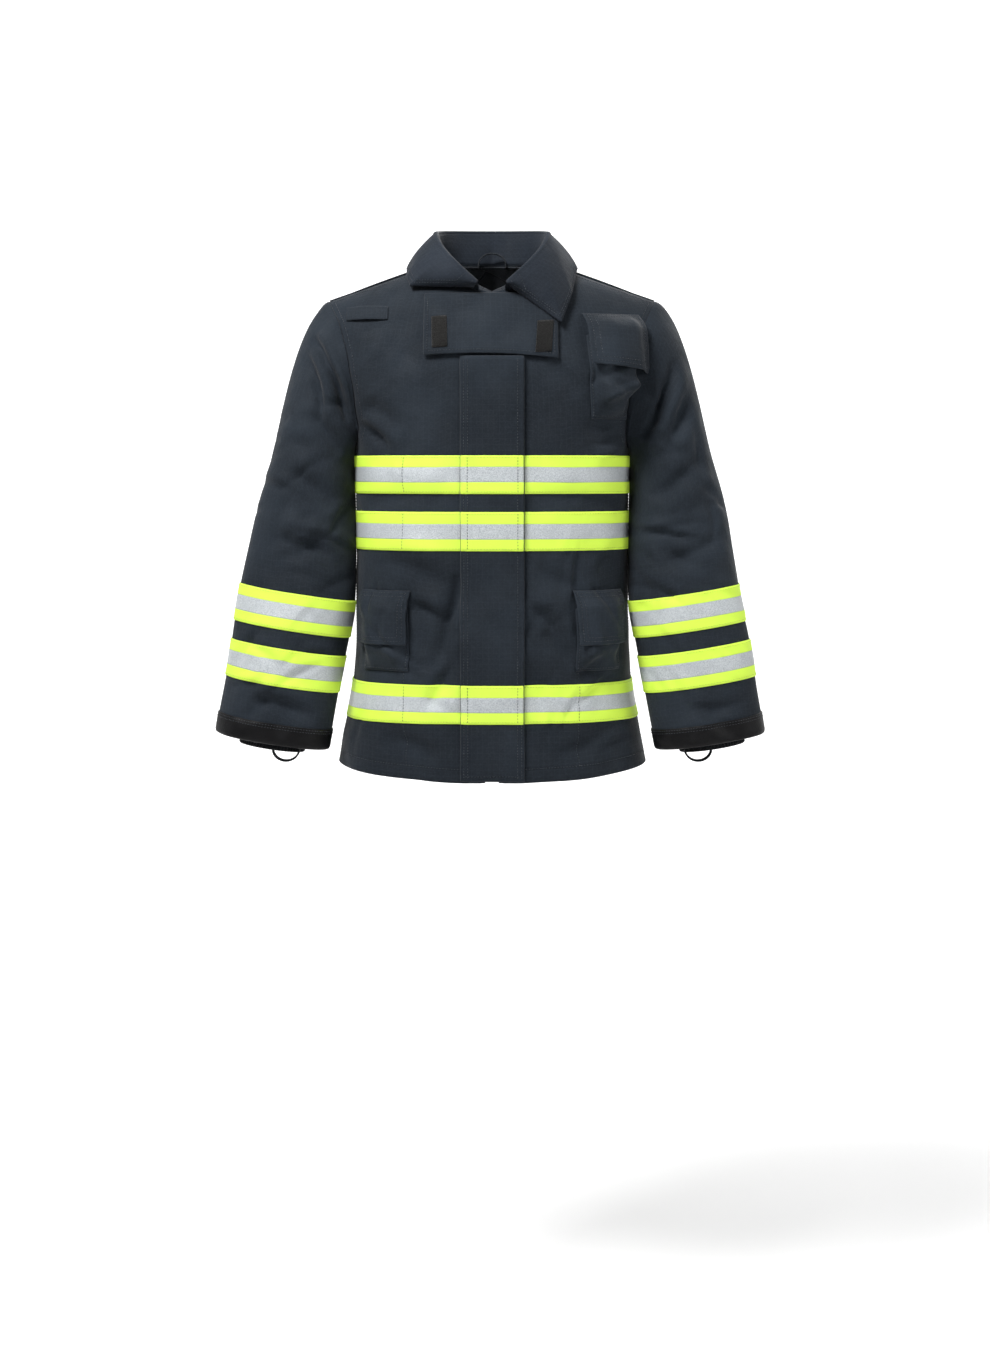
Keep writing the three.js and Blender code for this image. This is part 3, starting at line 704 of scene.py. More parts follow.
SHELL_CLOTH = ripstop("shell_ripstop", (0.0086, 0.0117, 0.0160), (0.0138, 0.0186, 0.0251))
COLLAR_CLOTH = ripstop("collar_ripstop", (0.0088, 0.0118, 0.0168), (0.0142, 0.0187, 0.0262))
LINER_CLOTH = quilted("thermal_liner")
TAPE = reflective("reflective_tape")
HOOK = hook_and_loop("hook_and_loop")
CUFF = leather("cuff_leather")
KNIT = knit("knit")
ZIP_TAPE = webbing("zipper_tape", (0.008, 0.010, 0.013), (0.026, 0.030, 0.036))
BRASS = brass("zipper_brass")
THREAD = webbing("thread", (0.010, 0.012, 0.015), (0.034, 0.040, 0.048))
LIME_THREAD = webbing("lime_thread", (0.30, 0.42, 0.05), (0.52, 0.70, 0.10))


# Body
def body_panel(name, face, edge, side, material, top, low, seams=(), columns=62):
    s, t = np.meshgrid(across_steps(columns), up_steps(seams), indexing="ij")
    if face == BACK:
        s = np.concatenate([-s[:0:-1], s])
        t = np.concatenate([t[:0:-1], t])
        side = np.where(s < 0, -1, 1)
    outer = panel(face, edge, side, np.abs(s), t, top)
    inner = panel(face, edge, side, np.abs(s), t, low)
    return cloth(name, outer, inner, material), panel(face, edge, side, np.abs(s), t, top, folded=False)


def add_body():
    hem_seam = (HEM_SEAM_Z,)
    for name, side in SIDES.items():
        thing, plain = body_panel(
            f"shell_front_{name}", FRONT, PANEL_EDGE, side, SHELL_CLOTH, 0.0, -SHELL, hem_seam
        )
        bind(thing, replaces=[f"front_panel_{name}"])
        declare_sheet(plain)
        thing, _ = body_panel(
            f"liner_front_{name}", FRONT, PANEL_EDGE + 12, side, LINER_CLOTH, LINER_TOP, LINER_LOW
        )
        bind(thing, replaces=[f"thermal_liner_front_{name}"])
    thing, plain = body_panel("shell_back", BACK, 0.0, 1, SHELL_CLOTH, 0.0, -SHELL, hem_seam)
    bind(thing, replaces=["back_panel"])
    declare_sheet(plain)
    thing, _ = body_panel("liner_back", BACK, 0.0, 1, LINER_CLOTH, LINER_TOP, LINER_LOW)
    bind(thing, replaces=["thermal_liner_back"])


def add_shoulder_seams():
    """A felled seam lying over the ridge where each front meets the back."""
    reach, first, last = 8.0, NECK_HALF + 2, SHOULDER_TIP_X - 1
    for name, side in SIDES.items():
        x, across = plane(44, 19, (first, last), (-reach, reach))
        z = shoulder_height(x) - 0.5 * SHOULDER_ROUND * (across / front_depth(650.0)) ** 2

        def layer(out):
            front, back = body(FRONT, side * x, z, out), body(BACK, side * x, z, out)
            ridge = np.where((across < 0)[..., None], front, back)
            ridge[..., 1] = np.where(across == 0, 0.0, ridge[..., 1])
            return ridge

        thing = cloth(f"shoulder_seam_{name}", layer(1.3), layer(0.1), SHELL_CLOTH)
        bind(thing)


def surface_run(face, x, z):
    """A stitch run on the body through (x, z) points."""
    x, z = np.array(x, float), np.array(z, float)
    at = np.linspace(0, 1, len(x))
    return lambda t, out: body(face, np.interp(t, at, x), np.interp(t, at, z), out)


def hem_run(face, side, edge):
    last = 0.985
    return lambda t, out: panel(face, edge, side, t * last, (HEM_SEAM_Z / ARMPIT_Z) * np.ones_like(t), out)


def add_body_stitches():
    runs = []
    for side in SIDES.values():
        for face, edge in ((FRONT, PANEL_EDGE + 2), (BACK, 0.0)):
            runs.append((hem_run(face, side, edge), SHELL_THREAD))
            heights = np.linspace(ARMPIT_Z + 6, shoulder_height(SHOULDER_TIP_X) - 3, 40)
            runs.append((surface_run(face, side * (armhole_x(heights) - 7), heights), SHELL_THREAD))
            x = np.linspace(NECK_HALF + 34, SHOULDER_TIP_X - 6, 20)
            runs.append((surface_run(face, side * x, shoulder_height(x) - 5), SHELL_THREAD))
            heights = np.linspace(26, ARMPIT_Z - 8, 40)
            runs.append((surface_run(face, side * (half_width(heights) - 1.4), heights), SHELL_THREAD))
    for x in FACING_SEAMS_X:
        runs.append((surface_run(FRONT, [x, x], [20, 78]), SHELL_THREAD))
        runs.append((surface_run(FRONT, [x, x], [133, 148]), SHELL_THREAD))
    for z in YOKE_SEAMS_Z:
        runs.append((surface_run(BACK, np.linspace(-180, 180, 40), np.full(40, z)), SHELL_THREAD))
    stitch_runs("body_stitching", runs, THREAD)


def add_body_bands():
    for band, (low, high) in BODY_BANDS.items():
        runs = []
        for name, face, side in (("front_right", FRONT, -1), ("front_left", FRONT, 1), ("back", BACK, 1)):
            edge = PANEL_EDGE if face == FRONT else 0.0
            s, z = np.meshgrid(across_steps(60), np.linspace(low, high, 13), indexing="ij")
            if face == BACK:
                s = np.concatenate([-s[:0:-1], s])
                z = np.concatenate([z[:0:-1], z])
                side = np.where(s < 0, -1, 1)
            x = side * lerp(edge, armhole_x(z), np.abs(s))
            outer, inner = body(face, x, z, BAND_OVER), body(face, x, z, BAND_UNDER)
            node = f"{band}_band_{name}"
            bind(cloth(node, outer, inner, TAPE), replaces=[node])
            for rise in (low + BAND_STITCH_IN, high - BAND_STITCH_IN):
                ends = x[:, 0] * 0.995
                runs.append((surface_run(face, ends, np.full(len(ends), rise)), BAND_THREAD))
        stitch_runs(f"{band}_band_edge_stitching", runs, LIME_THREAD)
        joins = FACING_SEAMS_X if band == "hem" else FACING_SEAMS_X[:1]
        dark = [(surface_run(FRONT, [x, x], [low + 1, high - 1]), BAND_THREAD) for x in joins]
        stitch_runs(f"{band}_band_joining_stitching", dark, THREAD)


# Sleeves
class Sleeve:
    """The smooth surface of one sleeve: a cap from the armhole, then rings down to the cuff, with folds."""

    def __init__(self, side):
        self.side = side
        angle = np.linspace(0, 2 * math.pi, AROUND + 1)[:-1]
        heights = np.arange(SLEEVE_TOP_Z - SLEEVE_STEP, SLEEVE_END_Z - SLEEVE_STEP - 2, -SLEEVE_STEP)
        share = np.linspace(0, 1, CAP_ROWS + 1)[None, :, None]
        start = self.armhole(angle)[:, None]
        lift = ((1 + np.cos(angle)) / 2)[:, None, None] * CAP_LIFT * np.array([side, 1, 1])
        end = self.ring(angle, SLEEVE_TOP_Z)[:, None]
        cap = (1 - share) ** 2 * start + 2 * share * (1 - share) * (start + lift) + share**2 * end
        tube = np.stack([self.ring(angle, z) for z in heights], 1)
        points = np.concatenate([cap, tube], 1)
        reach = np.arange(-9, 10)
        weights = np.exp(-0.5 * (reach / 3.2) ** 2)
        padded = np.pad(points, ((0, 0), (9, 9), (0, 0)), mode="reflect", reflect_type="odd")
        rounded = sum(
            w * padded[:, 9 + k : 9 + k + points.shape[1]] for k, w in zip(reach, weights / weights.sum())
        )
        fade = ease(np.arange(points.shape[1]) / 7.0)[None, :, None]
        self.points = lerp(points, rounded, fade)
        along = np.gradient(self.points, axis=1)
        around = np.roll(self.points, -1, 0) - np.roll(self.points, 1, 0)
        normal = unit(np.cross(around, along))
        outward = self.points - self.points.mean(0, keepdims=True)
        self.normals = normal * np.sign((normal * outward).sum())
        self.rows = points.shape[1] - 1
        chance = np.random.default_rng(SEED + 7 * (side + 2))
        self.waves = []
        for _ in range(9):
            number, turn = int(chance.integers(1, 6)), chance.uniform(-1, 1) / 26.0
            self.waves.append((number, turn, chance.uniform(0, 2 * math.pi)))

    def armhole(self, angle):
        z = (SHOULDER_TIP_Z + ARMPIT_Z) / 2 + (SHOULDER_TIP_Z - ARMPIT_Z) / 2 * np.cos(angle)
        x = self.side * armhole_x(z)
        front, back = body(FRONT, x, z, 0.0), body(BACK, x, z, 0.0)
        ring = np.where((np.sin(angle) >= 0)[:, None], front, back)
        ring[:, 0] += self.side * ARMHOLE_GAP
        return ring

    def ring(self, angle, z):
        across = np.cos(angle) * sleeve_half_width(z)
        along = np.sin(angle) * sleeve_half_depth(z)
        x = self.side * (sleeve_x(z) + across * math.cos(SLEEVE_LEAN))
        return np.stack([x, sleeve_y(z) - along, z + across * math.sin(SLEEVE_LEAN)], -1)

    def row(self, z):
        return CAP_ROWS + (SLEEVE_TOP_Z - z) / SLEEVE_STEP

    def read(self, table, u, row):
        u, row = np.broadcast_arrays(np.asarray(u, float), np.asarray(row, float))
        at = (u % 1.0) * AROUND
        i = np.floor(at).astype(int) % AROUND
        j = np.clip(np.floor(row).astype(int), 0, self.rows - 1)
        a, b = (at - np.floor(at))[..., None], (row - j)[..., None]
        low = lerp(table[i, j], table[(i + 1) % AROUND, j], a)
        high = lerp(table[i, j + 1], table[(i + 1) % AROUND, j + 1], a)
        return lerp(low, high, b)

    def folds(self, points, normals, u, row):
        angle = 2 * math.pi * np.asarray(u, float)
        waves = [np.sin(k * angle + row * turn * SLEEVE_STEP + phase) for k, turn, phase in self.waves]
        wave = sum(waves) / 3.0
        facing = ease(-normals[..., 1] * 1.6)
        behind = ease(normals[..., 1] * 1.6)
        front = creases(SLEEVE_CREASES, points[..., 0], points[..., 2])
        back = creases(SLEEVE_CREASES, -points[..., 0] + 6.0, points[..., 2] + 14.0)
        inner = ease(-normals[..., 0] * self.side)
        fade = ease(row / 8.0)
        return (3.0 * wave * (1 - 0.8 * inner) + 2.5 * front * facing + 1.8 * back * behind) * fade

    def at(self, u, row, out=0.0, folded=True):
        points, normals = self.read(self.points, u, row), unit(self.read(self.normals, u, row))
        if folded:
            out = out + self.folds(points, normals, u, row)
        return points + normals * np.asarray(out)[..., None] if np.ndim(out) else points + normals * out

    def grid(self, from_row, to_row, step=1.0):
        count = max(3, int(round(abs(to_row - from_row) / step)) + 1)
        return plane(AROUND + 1, count, up=(from_row, to_row))


SLEEVES = {name: Sleeve(side) for name, side in SIDES.items()}


def row_point(x, y, z):
    return tuple((np.array([x, y, z]) - ORIGIN) * MM)


def shoulder_blend(name):
    """From the armhole seam, which stays on the body, down the diagonal into the sleeve."""
    side = SIDES[name]
    diagonal = math.sqrt(0.5)
    start = (200.0, 200.0 + 187.0 / diagonal)
    length = 93.0
    y = -30.0
    return (
        "root",
        f"upper_arm_{name}",
        row_point(side * start[0], y, start[1]),
        row_point(side * (start[0] + length * diagonal), y, start[1] - length * diagonal),
    )


def elbow_blend(name):
    side = SIDES[name]
    top, length = SLEEVE_SPLIT_Z - 1.0, 72.0
    x, y = float(sleeve_x(top)), float(sleeve_y(top))
    return (
        f"upper_arm_{name}",
        f"forearm_{name}",
        row_point(side * x, y, top),
        row_point(side * (x + length * math.sin(SLEEVE_LEAN)), y, top - length * math.cos(SLEEVE_LEAN)),
    )


def add_sleeves():
    for name, sleeve in SLEEVES.items():
        split, end = sleeve.row(SLEEVE_SPLIT_Z), sleeve.row(SLEEVE_END_Z + 2)
        parts = (
            ("upper_sleeve", 0.0, split, shoulder_blend(name), ("high",)),
            ("forearm_sleeve", split, end, elbow_blend(name), ("low",)),
        )
        for part, first, last, blend, plain in parts:
            u, row = sleeve.grid(first, last)
            shift = (0.0, first * SLEEVE_STEP * MM)
            layers = sleeve.at(u, row), sleeve.at(u, row, -SHELL)
            thing = cloth(f"{part}_cloth_{name}", *layers, SHELL_CLOTH, True, plain, shift)
            bind(thing, blend=blend, replaces=[f"{part}_{name}"])
            declare_sheet(sleeve.at(u, row, folded=False))
        liner_end = sleeve.row(128)
        for part, first, last, blend, plain in (
            ("upper_sleeve", 1.5, split, shoulder_blend(name), ("high",)),
            ("forearm", split, liner_end, elbow_blend(name), ("low",)),
        ):
            u, row = sleeve.grid(first, last, 1.6)
            layers = sleeve.at(u, row, LINER_TOP), sleeve.at(u, row, LINER_LOW)
            thing = cloth(f"liner_{part}_{name}", *layers, LINER_CLOTH, True, plain)
            bind(thing, blend=blend, replaces=[f"thermal_liner_{part}_{name}"])
        add_sleeve_trim(name, sleeve)


def add_sleeve_trim(name, sleeve):
    body_name = f"forearm_{name}"
    edges = []
    for band, (low, high) in SLEEVE_BANDS.items():
        u, row = sleeve.grid(sleeve.row(low), sleeve.row(high))
        outer, inner = sleeve.at(u, row, BAND_OVER), sleeve.at(u, row, BAND_UNDER)
        node = f"sleeve_{band}_band_{name}"
        thing = cloth(node, outer, inner, TAPE, True)
        bind(thing, body_name, replaces=[node])
        for row in (sleeve.row(low + BAND_STITCH_IN), sleeve.row(high - BAND_STITCH_IN)):
            edges.append(seam(sleeve.at, 0.0, (0, 1), (row, row), BAND_THREAD))
    stitch_runs(f"sleeve_band_stitching_{name}", edges, LIME_THREAD, body_name=body_name)

    profile = np.array(CUFF_PROFILE)
    along = np.gradient(profile, axis=0)
    across = unit(np.stack([along[:, 1], -along[:, 0]], -1))
    u, k = np.meshgrid(np.linspace(0, 1, AROUND + 1), np.arange(len(profile)), indexing="ij")
    layers = []
    for offset in (0.6, -0.6):
        shape = profile + across * offset
        layers.append(sleeve.at(u, sleeve.row(shape[:, 0])[k], shape[:, 1][k]))
    thing = cloth(f"cuff_binding_{name}", layers[0], layers[1], CUFF, True)
    bind(thing, body_name, replaces=[f"cuff_{name}"])
    rows = [sleeve.row(z) for z in (75.0, 71.5)]
    runs = [seam(sleeve.at, 0.0, (0, 1), (row, row), CUFF_THREAD) for row in rows]
    stitch_runs(f"cuff_stitching_{name}", runs, THREAD, body_name=body_name, slot="cuff_leather")
    add_wristlet(name)


def add_wristlet(name):
    side, body_name = SIDES[name], f"forearm_{name}"
    top, neck, bottom = 132.0, 96.0, 42.0
    turns, ribs = 360, 60
    u, v = plane(turns + 1, 40)
    z = lerp(top, bottom, v)
    snug = ease((top - z) / (top - neck))
    angle = 2 * math.pi * u
    rib = 0.55 * np.cos(angle * ribs) * ease((top + 2 - z) / 20) + 0.4 * np.sin(z / 3.1 + 2 * np.sin(angle))

    def layer(thick):
        across = np.cos(angle) * (lerp(66, 44, snug) + thick + rib)
        along = np.sin(angle) * (lerp(38, 34, snug) + thick + rib)
        x = side * (sleeve_x(z) + across)
        return np.stack([x, sleeve_y(z) - along, z + across * math.sin(SLEEVE_LEAN)], -1)

    thing = cloth(f"wristlet_knit_{name}", layer(0.0), layer(-2.3), KNIT, True)
    bind(thing, body_name, replaces=[f"wristlet_{name}"])
    declare_sheet(layer(0.0))

    middle_x, middle_y = float(sleeve_x(bottom)) - 22, float(sleeve_y(bottom)) - 31
    u, v = plane(40, 7)
    angle = u * math.pi

    def strap(radius):
        x = side * (middle_x - np.cos(angle) * radius)
        y = middle_y + lerp(-2, 8, v) + 0.8 * np.sin(angle)
        return np.stack([x, y, bottom - 1.2 - np.sin(angle) * (radius - 2) + 0.5 * np.sin(v * math.pi)], -1)

    thing = cloth(f"thumb_loop_knit_{name}", strap(19.0), strap(16.6), KNIT)
    bind(thing, body_name, replaces=[f"thumb_loop_{name}"])


# Closure
def strip(name, x0, x1, z0, z1, under, over, material, columns, rows):
    x, z = plane(columns, rows, (x0, x1), (z0, z1))
    under, over = (value(x, z) if callable(value) else value for value in (under, over))
    return cloth(name, body(FRONT, x, z, over), body(FRONT, x, z, under), material)


def flap_rise(x):
    """The storm flap lies on the coat along its sewn edge and rises over the zipper."""
    return ease((x - FLAP_HINGE_X) / 10.0)


def flap_under(x, z):
    return lerp(0.7, FLAP_UNDER, flap_rise(x)) + 0.8 * ease((x - 24) / 17) * ease((120 - z) / 110)


def flap_over(x, z):
    return flap_under(x, z) + (FLAP_OVER - FLAP_UNDER)


def tape_under(x, z):
    return flap_over(x, z) + 0.4


def tape_over(x, z):
    return flap_over(x, z) + FLAP_TAPE


def flap_run(x, z, lift=0.0):
    x, z = np.array(x, float), np.array(z, float)
    at = np.linspace(0, 1, len(x))

    def path(t, out):
        px, pz = np.interp(t, at, x), np.interp(t, at, z)
        return body(FRONT, px, pz, flap_over(px, pz) + out + lift)

    return path


def add_storm_flap():
    blend = ("root", "storm_flap", row_point(FLAP_HINGE_X, -145, 285), row_point(FLAP_HINGE_X + 9, -145, 285))
    name = "storm_flap_cloth"
    x, z = plane(30, 130, (FLAP_HINGE_X - 1, FLAP_FREE_X), (FLAP_LOW, FLAP_HIGH))
    layers = body(FRONT, x, z, flap_over(x, z)), body(FRONT, x, z, flap_under(x, z))
    thing = cloth(name, *layers, SHELL_CLOTH)
    bind(thing, blend=blend, replaces=["storm_flap"])
    declare_sheet(body(FRONT, x, z, 2.0, folded=False))
    gaps = [(FLAP_LOW + 3, 78), (133, 310), (365, 386), (440, FLAP_HIGH - 3)]
    dark = [(flap_run([x, x], gap), FLAP_THREAD) for x in (-37.0, *FLAP_STITCHES_X) for gap in gaps]
    dark.append((flap_run([38.2, 38.2], gaps[0]), FLAP_THREAD))
    dark.append((flap_run([-36, 36], [FLAP_LOW + 6, FLAP_LOW + 6]), FLAP_THREAD))
    stitch_runs("storm_flap_stitching", dark, THREAD, blend=blend)
    for band, (low, high) in BODY_BANDS.items():
        tape = strip(
            f"flap_tape_{band}",
            FLAP_HINGE_X - 0.6,
            FLAP_FREE_X - 0.8,
            low,
            high,
            tape_under,
            tape_over,
            TAPE,
            28,
            13,
        )
        bind(tape, blend=blend, replaces=[f"storm_flap_{band}_tape"])
        runs = [(flap_run([x, x], [low + 1, high - 1], FLAP_TAPE), 0.1) for x in FLAP_STITCHES_X]
        stitch_runs(f"flap_tape_joining_{band}", runs, THREAD, blend=blend)
        rises = (low + BAND_STITCH_IN, high - BAND_STITCH_IN)
        runs = [(flap_run([-39, 39], [z, z], FLAP_TAPE), 0.1) for z in rises]
        stitch_runs(f"flap_tape_edge_{band}", runs, LIME_THREAD, blend=blend)
    loops = strip("flap_loop_strip", *HOOK_STRIP_X, *HOOK_STRIP_Z, 2.0, 3.6, HOOK, 8, 120)
    bind(loops, "storm_flap", replaces=["storm_flap_loop_strip"])
    hooks = strip("front_hook_tape", *HOOK_STRIP_X, *HOOK_STRIP_Z, 0.3, 1.7, HOOK, 8, 120)
    bind(hooks, replaces=["front_hook_strip"])


def box_set(name, centres, size, material):
    """Small blocks with cut corners lying on the front, one at each (x, z, out)."""
    centres = np.array(centres, float)
    half = np.array(size, float) / 2
    ring = np.array([(-1, -0.5), (-0.5, -1), (0.5, -1), (1, -0.5), (1, 0.5), (0.5, 1), (-0.5, 1), (-1, 0.5)])
    levels = [(-1, 0.85), (-0.6, 1.0), (0.6, 1.0), (1, 0.8)]
    vertices = []
    for depth, share in levels:
        x = centres[:, :1] + ring[:, 0] * half[0] * share
        z = centres[:, 1:2] + ring[:, 1] * half[1] * share
        vertices.append(body(FRONT, x, z, centres[:, 2:3] + depth * half[2]))
    vertices = np.concatenate(vertices, 1)
    each, corners = vertices.shape[1], len(ring)
    one = []
    for level in range(len(levels) - 1):
        for k in range(corners):
            a, b = level * corners + k, level * corners + (k + 1) % corners
            one.append([a, b, b + corners, a + corners])
    last = (len(levels) - 1) * corners
    for k in (0, 2, 4):
        one.append([last, last + k + 1, last + k + 2, last + (k + 3) % corners])
        one.append([0, (k + 3) % corners, k + 2, k + 1])
    faces = (np.arange(len(centres))[:, None, None] * each + np.array(one)[None]).reshape(-1, 4)
    vertices = vertices.reshape(-1, 3)
    return build(name, vertices, faces, vertices[faces][..., [0, 2]] * MM, material)


def add_zipper():
    for name, side in SIDES.items():
        x0, x1 = side * 2.2, side * (PANEL_EDGE + 4)
        tape = strip(
            f"zipper_tape_cloth_{name}", x0, x1, ZIP_LOW - 4, ZIP_HIGH + 4, -3.6, -2.5, ZIP_TAPE, 6, 120
        )
        bind(tape, replaces=[f"zipper_tape_{name}"])
    heights = np.arange(ZIP_LOW, ZIP_HIGH, TOOTH_PITCH / 2)
    teeth = [(-TOOTH_X if k % 2 else TOOTH_X, z, TOOTH_OUT) for k, z in enumerate(heights)]
    blocks = (
        ("zipper_teeth", "root", "zipper_chain", teeth, (3.4, 1.25, 1.9)),
        ("zipper_slider_body", "zipper_slider", "zipper_slider", SLIDER_BLOCKS, (9.5, 8, 1.6)),
        ("zipper_pull_tab", "zipper_slider", "zipper_pull", PULL_BLOCKS, (7, 20, 1.2)),
    )
    for name, body_name, node, centres, size in blocks:
        bind(box_set(name, centres, size, BRASS), body_name, replaces=[node])


# Collar
FOLD_RADIUS_X, FOLD_RADIUS_Y = 74.0, 84.0
FOLD_SWEEP = math.radians(165)
FOLD_BACK_Z, FOLD_SIDE_Z, FOLD_FRONT_Z = 750.0, 740.0, 668.0
COLLAR_CORNER = {-1: (105.0, 662.0), 1: (88.0, 614.0)}
COLLAR_HALF_THICK = 1.3
COLLAR_STATIONS = (0.0, 0.3, 0.52, 0.66, 0.8, 1.0)


def fold_point(side, q):
    angle = q * FOLD_SWEEP
    side_at = (math.pi / 2) / FOLD_SWEEP
    falling = clamp((q - side_at) / (1 - side_at))
    behind = lerp(FOLD_BACK_Z, FOLD_SIDE_Z, clamp(q / side_at) ** 2)
    z = np.where(q < side_at, behind, lerp(FOLD_SIDE_Z, FOLD_FRONT_Z, falling**1.2))
    y = NECK_AXIS_Y + FOLD_RADIUS_Y * np.cos(angle)
    return np.stack([side * FOLD_RADIUS_X * np.sin(angle), y, z], -1)


def neckline_point(side, q):
    angle = q * FOLD_SWEEP
    x = NECK_HALF * np.sin(angle)
    front = body(FRONT, side * x, panel_top(FRONT, x), 0.0)
    back = body(BACK, side * x, panel_top(BACK, x), 0.0)
    return np.where((angle > math.pi / 2)[..., None], front, back)


def away_from_neck(point):
    flat = point - np.array([0.0, NECK_AXIS_Y, 0.0])
    return unit(flat * np.array([1.0, 1.0, 0.0]))


def collar_edge(side, q):
    corner_x, corner_z = COLLAR_CORNER[side]
    stations = [
        (BACK, 0.0, 697.0, 8.0),
        (BACK, 76.0, 689.0, 7.0),
        (FRONT, 113.0, 686.0, 10.0),
        (FRONT, (113.0 + corner_x) / 2, (686.0 + corner_z) / 2, 12.0),
        (FRONT, corner_x, corner_z, 13.0),
        (FRONT, 24.0, 661.0, 10.0),
    ]
    points = np.stack([body(face, side * x, z, out, folded=False) for face, x, z, out in stations])
    return np.stack([np.interp(q, COLLAR_STATIONS, points[:, k]) for k in range(3)], -1)


def fall_point(side, q, v, offset):
    """The turned-down collar: a roll at the fold, then cloth out to the loose edge."""
    roll_share, roll = 0.16, 2.8
    fold = fold_point(side, q)
    away = away_from_neck(fold)
    turn = clamp(v / roll_share) * math.pi
    rolled = fold + away * (roll - (roll + offset) * np.cos(turn))[..., None]
    rolled = rolled + np.array([0, 0, 1.0]) * ((roll + offset) * np.sin(turn))[..., None]
    t = clamp((v - roll_share) / (1 - roll_share))
    start = fold + away * (2 * roll)
    edge = collar_edge(side, q)
    crown = 17.0 * t * (1 - t) + 1.0 * np.sin(q * 21.0) * t
    flat = lerp(start, edge, t[..., None]) + away * crown[..., None]
    face = unit(away + np.array([0, 0, 0.55]))
    flat = flat + face * offset
    blend = ease((v - roll_share + 0.03) / 0.06)
    return lerp(rolled, flat, blend[..., None])


def add_collar():
    q, v = plane(161, 16, (-1, 1))
    side = np.where(q < 0, -1, 1)
    fold = np.where((q < 0)[..., None], fold_point(-1, np.abs(q)), fold_point(1, np.abs(q)))
    foot = np.where((q < 0)[..., None], neckline_point(-1, np.abs(q)), neckline_point(1, np.abs(q)))
    away = away_from_neck(fold)
    hollow = away * (2.5 * np.sin(v * math.pi))[..., None]
    stand = lerp(foot + np.array([0, 0, 1.0]), fold, v[..., None]) - hollow
    half = away * COLLAR_HALF_THICK
    thing = cloth("collar_stand_cloth", stand + half, stand - half, COLLAR_CLOTH)
    bind(thing, replaces=["collar_stand"])
    declare_sheet(stand)
    for name, side in SIDES.items():
        spans = zip(COLLAR_STATIONS, COLLAR_STATIONS[1:], (16, 14, 12, 12, 18))
        q = np.concatenate([np.linspace(a, b, n, endpoint=False) for a, b, n in spans] + [[1.0]])
        v = np.concatenate([np.linspace(0.02, 0.2, 12), np.linspace(0.2, 1.0, 24)[1:]])
        q, v = np.meshgrid(q, v, indexing="ij")
        outer, inner = fall_point(side, q, v, COLLAR_HALF_THICK), fall_point(side, q, v, -COLLAR_HALF_THICK)
        thing = cloth(f"collar_fall_{name}", outer, inner, COLLAR_CLOTH)
        start, end = fold_point(side, np.array([0.44, 0.61]))
        blend = ("root", f"collar_wing_{name}", row_point(*start), row_point(*end))
        nodes = [f"collar_wing_{name}", "collar_back_fall"]
        bind(thing, blend=blend, replaces=nodes)
        declare_sheet((outer + inner) / 2)

        def around(t, out, inset=0.0, side=side):
            last, corner = 0.985 - inset, (0.965 - inset) / 1.2
            q = clamp(0.02 + t * 1.2, 0.02, last)
            v = np.where(t * 1.2 + 0.02 > last, 1 - (t - corner) / (1 - corner), 1.0)
            height = np.linalg.norm(collar_edge(side, q) - fold_point(side, q), axis=-1)
            v = np.minimum(v, 1 - (5.0 + 90.0 * inset) / height)
            v = np.maximum(v, 0.2)
            return fall_point(side, q, v, COLLAR_HALF_THICK + out)

        runs = [(around, FLAP_THREAD), (lambda t, out, around=around: around(t, out, 0.05), FLAP_THREAD)]
        stitch_runs(f"collar_stitching_{name}", runs, THREAD, blend=blend, slot="collar_ripstop")


def add_throat_tab():
    half, low, high = 88.0, 571.0, 654.0

    def point(u, v, out):
        x = lerp(-half, half - 3, u)
        arch = 4.0 * np.sin(u * math.pi) + lerp(1.0, -2.5, u)
        z = lerp(low + arch, high, v)
        return body(FRONT, x, z, out + 1.2 * np.sin(u * 9.0) * (1 - v) * 0.5)

    u, v = plane(50, 24)
    under, over = 4.4, 6.8
    thing = cloth("throat_tab_cloth", point(u, v, over), point(u, v, under), SHELL_CLOTH)
    bind(thing, "throat_tab", replaces=["throat_tab"])
    declare_sheet(point(u, v, over))
    lines = (((0.03, 0.97), (0.05, 0.05)), ((0.025, 0.025), (0.06, 0.95)), ((0.975, 0.975), (0.06, 0.95)))
    runs = [seam(point, over, *line, FLAP_THREAD) for line in lines]
    stitch_runs("throat_tab_stitching", runs, THREAD, body_name="throat_tab")
    for name, x0, x1, z0, z1, lean in (("right", -76, -57, 581, 622, 2.0), ("left", 56, 76, 575, 616, -3.0)):
        x, z = plane(8, 14, (x0, x1), (z0, z1))
        x = x + lean * (z - z0) / (z1 - z0) * -1
        z = z + 0.06 * (x - x0)
        layers = [body(FRONT, x, z, over + out) for out in (1.9, 0.7)]
        patch = cloth(f"throat_patch_{name}", *layers, HOOK)
        bind(patch, "throat_tab", replaces=[f"throat_hook_patch_{name}"])


# Pockets
def pocket_swell(depth, u, v):
    across = np.sin(ease(np.minimum(u, 1 - u) * 3.2) * math.pi / 2)
    return depth * across * np.sin(clamp(2.2 * v) * math.pi / 2)


# Folds across a swollen pocket: depth, height at the inner edge, rise over the pocket's width, and own width
POCKET_FOLDS = ((3.2, 0.42, 0.5, 0.09), (2.6, 0.62, -0.5, 0.08), (-3.4, 0.2, 0.25, 0.07))
BAG_CLOTH = 2.0
POCKET_THREAD = 0.1
CHEST_Y = -140.0
RADIO = dict(low=488.0, mouth=598.0, depth=24.0, inner=(132.0, 126.0), outer=(181.0, 187.0))
LOWER = dict(low=150.0, mouth=233.0, depth=14.0, inner=(112.0, 112.0), outer=(171.0, 171.0))


